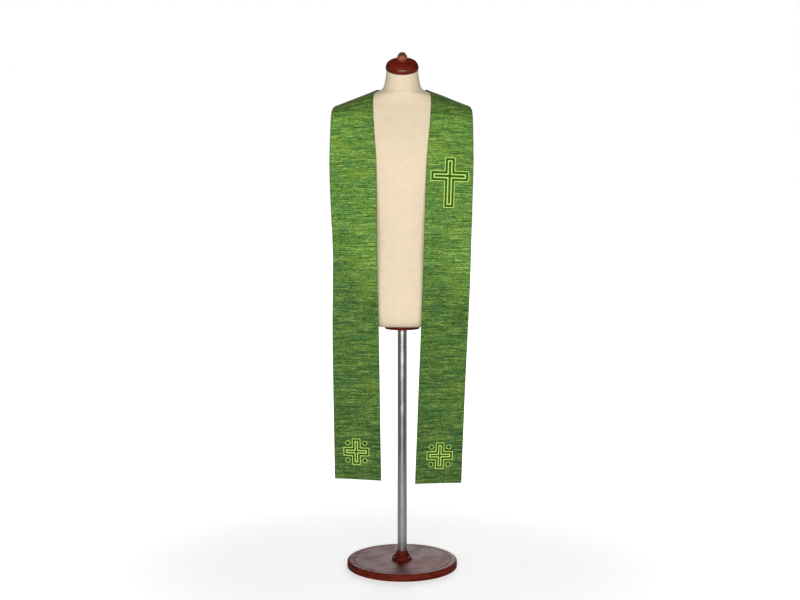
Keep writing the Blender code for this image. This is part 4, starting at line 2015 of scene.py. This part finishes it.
def finishes() -> Wardrobe:
    """Makes the shared effects and every finish.

    Returns:
        The materials.
    """
    effects = Effects(yarn_rows(), wood_grain(), handled())
    looks = {
        "cloth": SlubCloth(),
        "lining": Lining(),
        "lime": SatinThread("lime thread", (0.390, 0.600, 0.110), (0.580, 0.820, 0.210)),
        "bottle": SatinThread(
            "bottle green thread", (0.012, 0.040, 0.0004), (0.030, 0.082, 0.0008)
        ),
        "jersey": KnitJersey(),
        "red_wood": LacqueredWood(
            "dark red lacquered wood", (0.070, 0.006, 0.003), (0.200, 0.021, 0.009),
            # Painted shade on the rim and shoulder, painted light on the crown.
            coat=0.27, painted_light_and_shade=((0.0190, 0.74), (0.0270, 1.50)),
        ),
        "base_wood": LacqueredWood(
            "dark red satin wood", (0.060, 0.006, 0.003), (0.165, 0.018, 0.009),
            coat=0.0, smooth=0.52, dull=0.66,
        ),
        "brown_wood": LacqueredWood(
            "brown lacquered wood", (0.160, 0.042, 0.016), (0.400, 0.120, 0.048),
            # Painted shade on the knob's top.
            coat=0.10, painted_light_and_shade=((0.044, 1.05), (0.057, 0.62)),
        ),
        "steel": BrushedSteel(),
    }
    return Wardrobe(**{part: look.material(effects) for part, look in looks.items()})


def right_band(crest: Crest, wardrobe: Wardrobe) -> StoleBand:
    """The band on the right of someone in front, with its folds and creases.

    Args:
        crest: The shoulder's line.
        wardrobe: The finishes.

    Returns:
        The band.
    """
    return StoleBand(
        crest, wardrobe.cloth, wardrobe.lining, "stole_band_right", 1,
        hem_height=0.3190, hem_inner_x=0.0425, lean=math.radians(1.95), curl=0.0030,
        hem_drop=(0.0035, 0.0013),
        tuck=Tuck(0.97, 0.26, 0.0015, -0.0034, 0.0),
        folds=(
            Fold(1.10, 0.16, 0.0000, 0.0050),
            Fold(0.78, 0.15, 0.0030, -0.0030),
            Fold(0.46, 0.14, 0.0045, 0.0015),
        ),
        creases=(
            Crease(0.105, 0.030, 0.110, 0.020, 68.0, 0.0012),
            Crease(0.235, 0.118, 0.090, 0.017, 112.0, 0.0010),
            Crease(0.395, 0.060, 0.075, 0.019, 34.0, 0.0013),
            Crease(0.560, 0.104, 0.120, 0.022, 78.0, -0.0014),
            Crease(0.655, 0.040, 0.070, 0.015, 140.0, 0.0011),
            Crease(0.785, 0.092, 0.085, 0.018, 24.0, 0.0015),
            Crease(1.205, 0.052, 0.060, 0.013, 158.0, 0.0008),
            Crease(1.345, 0.080, 0.070, 0.012, 8.0, -0.0009),
            Crease(1.470, 0.105, 0.065, 0.014, 38.0, 0.0009),
        ),
        cut_length=1.689, cut_area=0.25, seed=0.7,
    )


def left_band(crest: Crest, wardrobe: Wardrobe) -> StoleBand:
    """The band on the left of someone in front, with its folds and creases.

    Args:
        crest: The shoulder's line.
        wardrobe: The finishes.

    Returns:
        The band.
    """
    return StoleBand(
        crest, wardrobe.cloth, wardrobe.lining, "stole_band_left", -1,
        hem_height=0.3310, hem_inner_x=0.0700, lean=math.radians(0.80), curl=0.0025,
        hem_drop=(0.0045, 0.0013),
        tuck=Tuck(1.08, 0.18, 0.0022, 0.0062, 0.018),
        folds=(
            Fold(1.16, 0.15, 0.0020, 0.0040),
            Fold(0.84, 0.16, -0.0025, 0.0030),
            Fold(0.50, 0.14, 0.0030, 0.0045),
        ),
        creases=(
            Crease(0.085, 0.120, 0.095, 0.018, 104.0, 0.0011),
            Crease(0.265, 0.045, 0.100, 0.021, 62.0, 0.0012),
            Crease(0.430, 0.100, 0.070, 0.016, 148.0, 0.0012),
            Crease(0.610, 0.058, 0.125, 0.023, 96.0, -0.0013),
            Crease(0.720, 0.120, 0.080, 0.017, 30.0, 0.0014),
            Crease(0.905, 0.070, 0.085, 0.019, 152.0, 0.0012),
            Crease(1.160, 0.088, 0.075, 0.015, 18.0, 0.0009),
            Crease(1.350, 0.060, 0.060, 0.013, 165.0, -0.0008),
            Crease(1.450, 0.095, 0.070, 0.014, 44.0, 0.0009),
        ),
        cut_length=1.667, cut_area=0.2465, seed=3.9,
    )


STITCH_GAP = 0.0002
DOT_REACH = 0.0290
DOT_RADIUS = 0.0085
HEM_CROSS_RIGHT = (0.1255, 0.410)
HEM_CROSS_LEFT = (0.1537, 0.4235)
CHEST_CROSS = (0.156, 1.343)


def nested(insets: Sequence[float], height: float) -> tuple[Stitched, ...]:
    """Bands of stitch one inside the other, lime outside and then by turns.

    Args:
        insets: Where each band starts, and where the last one ends.
        height: How far they stand up.

    Returns:
        The bands, each just clear of the next.
    """
    core = len(insets) - 2
    return tuple(
        Stitched(start, end - STITCH_GAP * (index < core), height, index % 2 == 1, index == core)
        for index, (start, end) in enumerate(zip(insets, insets[1:]))
    )


def hem_shapes() -> Shapes:
    """An equal-armed cross with a stitched dot in each corner.

    Returns:
        The outlines, each with its bands of stitch.
    """
    cross = CrossOutline(half_arm=0.0145, side_reach=0.0440, up_reach=0.0440, down_reach=0.0440)
    rings = nested((0.0, 0.0030, 0.0085, 0.0125, cross.half_arm), height=0.0010)
    dot = nested((0.0, 0.0024, DOT_RADIUS), height=0.0009)
    dots = tuple(
        (RoundOutline(DOT_RADIUS, (DOT_REACH * right, DOT_REACH * up)), dot)
        for right in (-1, 1)
        for up in (-1, 1)
    )
    return ((cross, rings), *dots)


def chest_shapes() -> Shapes:
    """A cross with a longer lower arm."""
    cross = CrossOutline(half_arm=0.0180, side_reach=0.0640, up_reach=0.0620, down_reach=0.1050)
    return ((cross, nested((0.0, 0.0033, 0.0100, 0.0148, cross.half_arm), height=0.0011)),)


def main() -> None:
    """Builds the sub-assemblies in order and reports each piece."""
    logging.basicConfig(level=logging.INFO, format="%(name)s: %(message)s")
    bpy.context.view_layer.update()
    wardrobe = finishes()
    form = DressForm(wardrobe.jersey).build()
    CapAndFinial(wardrobe.red_wood, wardrobe.brown_wood).build()
    Stand(wardrobe.base_wood, wardrobe.steel).build()
    crest = Crest(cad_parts["form_body"])
    right, left = right_band(crest, wardrobe), left_band(crest, wardrobe)
    threads = (wardrobe.lime, wardrobe.bottle)
    for band, motifs in (
        (right, (
            Embroidery("hem_cross_right", right, *HEM_CROSS_RIGHT, hem_shapes(), threads),
            Embroidery("chest_cross", right, *CHEST_CROSS, chest_shapes(), threads),
        )),
        (left, (Embroidery("hem_cross_left", left, *HEM_CROSS_LEFT, hem_shapes(), threads),)),
    ):
        cloth = band.build()
        band.declare(cloth, [motif.build() for motif in motifs], form)
        lengths = band.mitre_length(np.array([0.0, 1.0]))
        LOG.info("%s: %.3f m at the inner edge, %.3f m at the outer", band.name, *lengths)
    Studio().build()


if __name__ == "__main__":
    main()
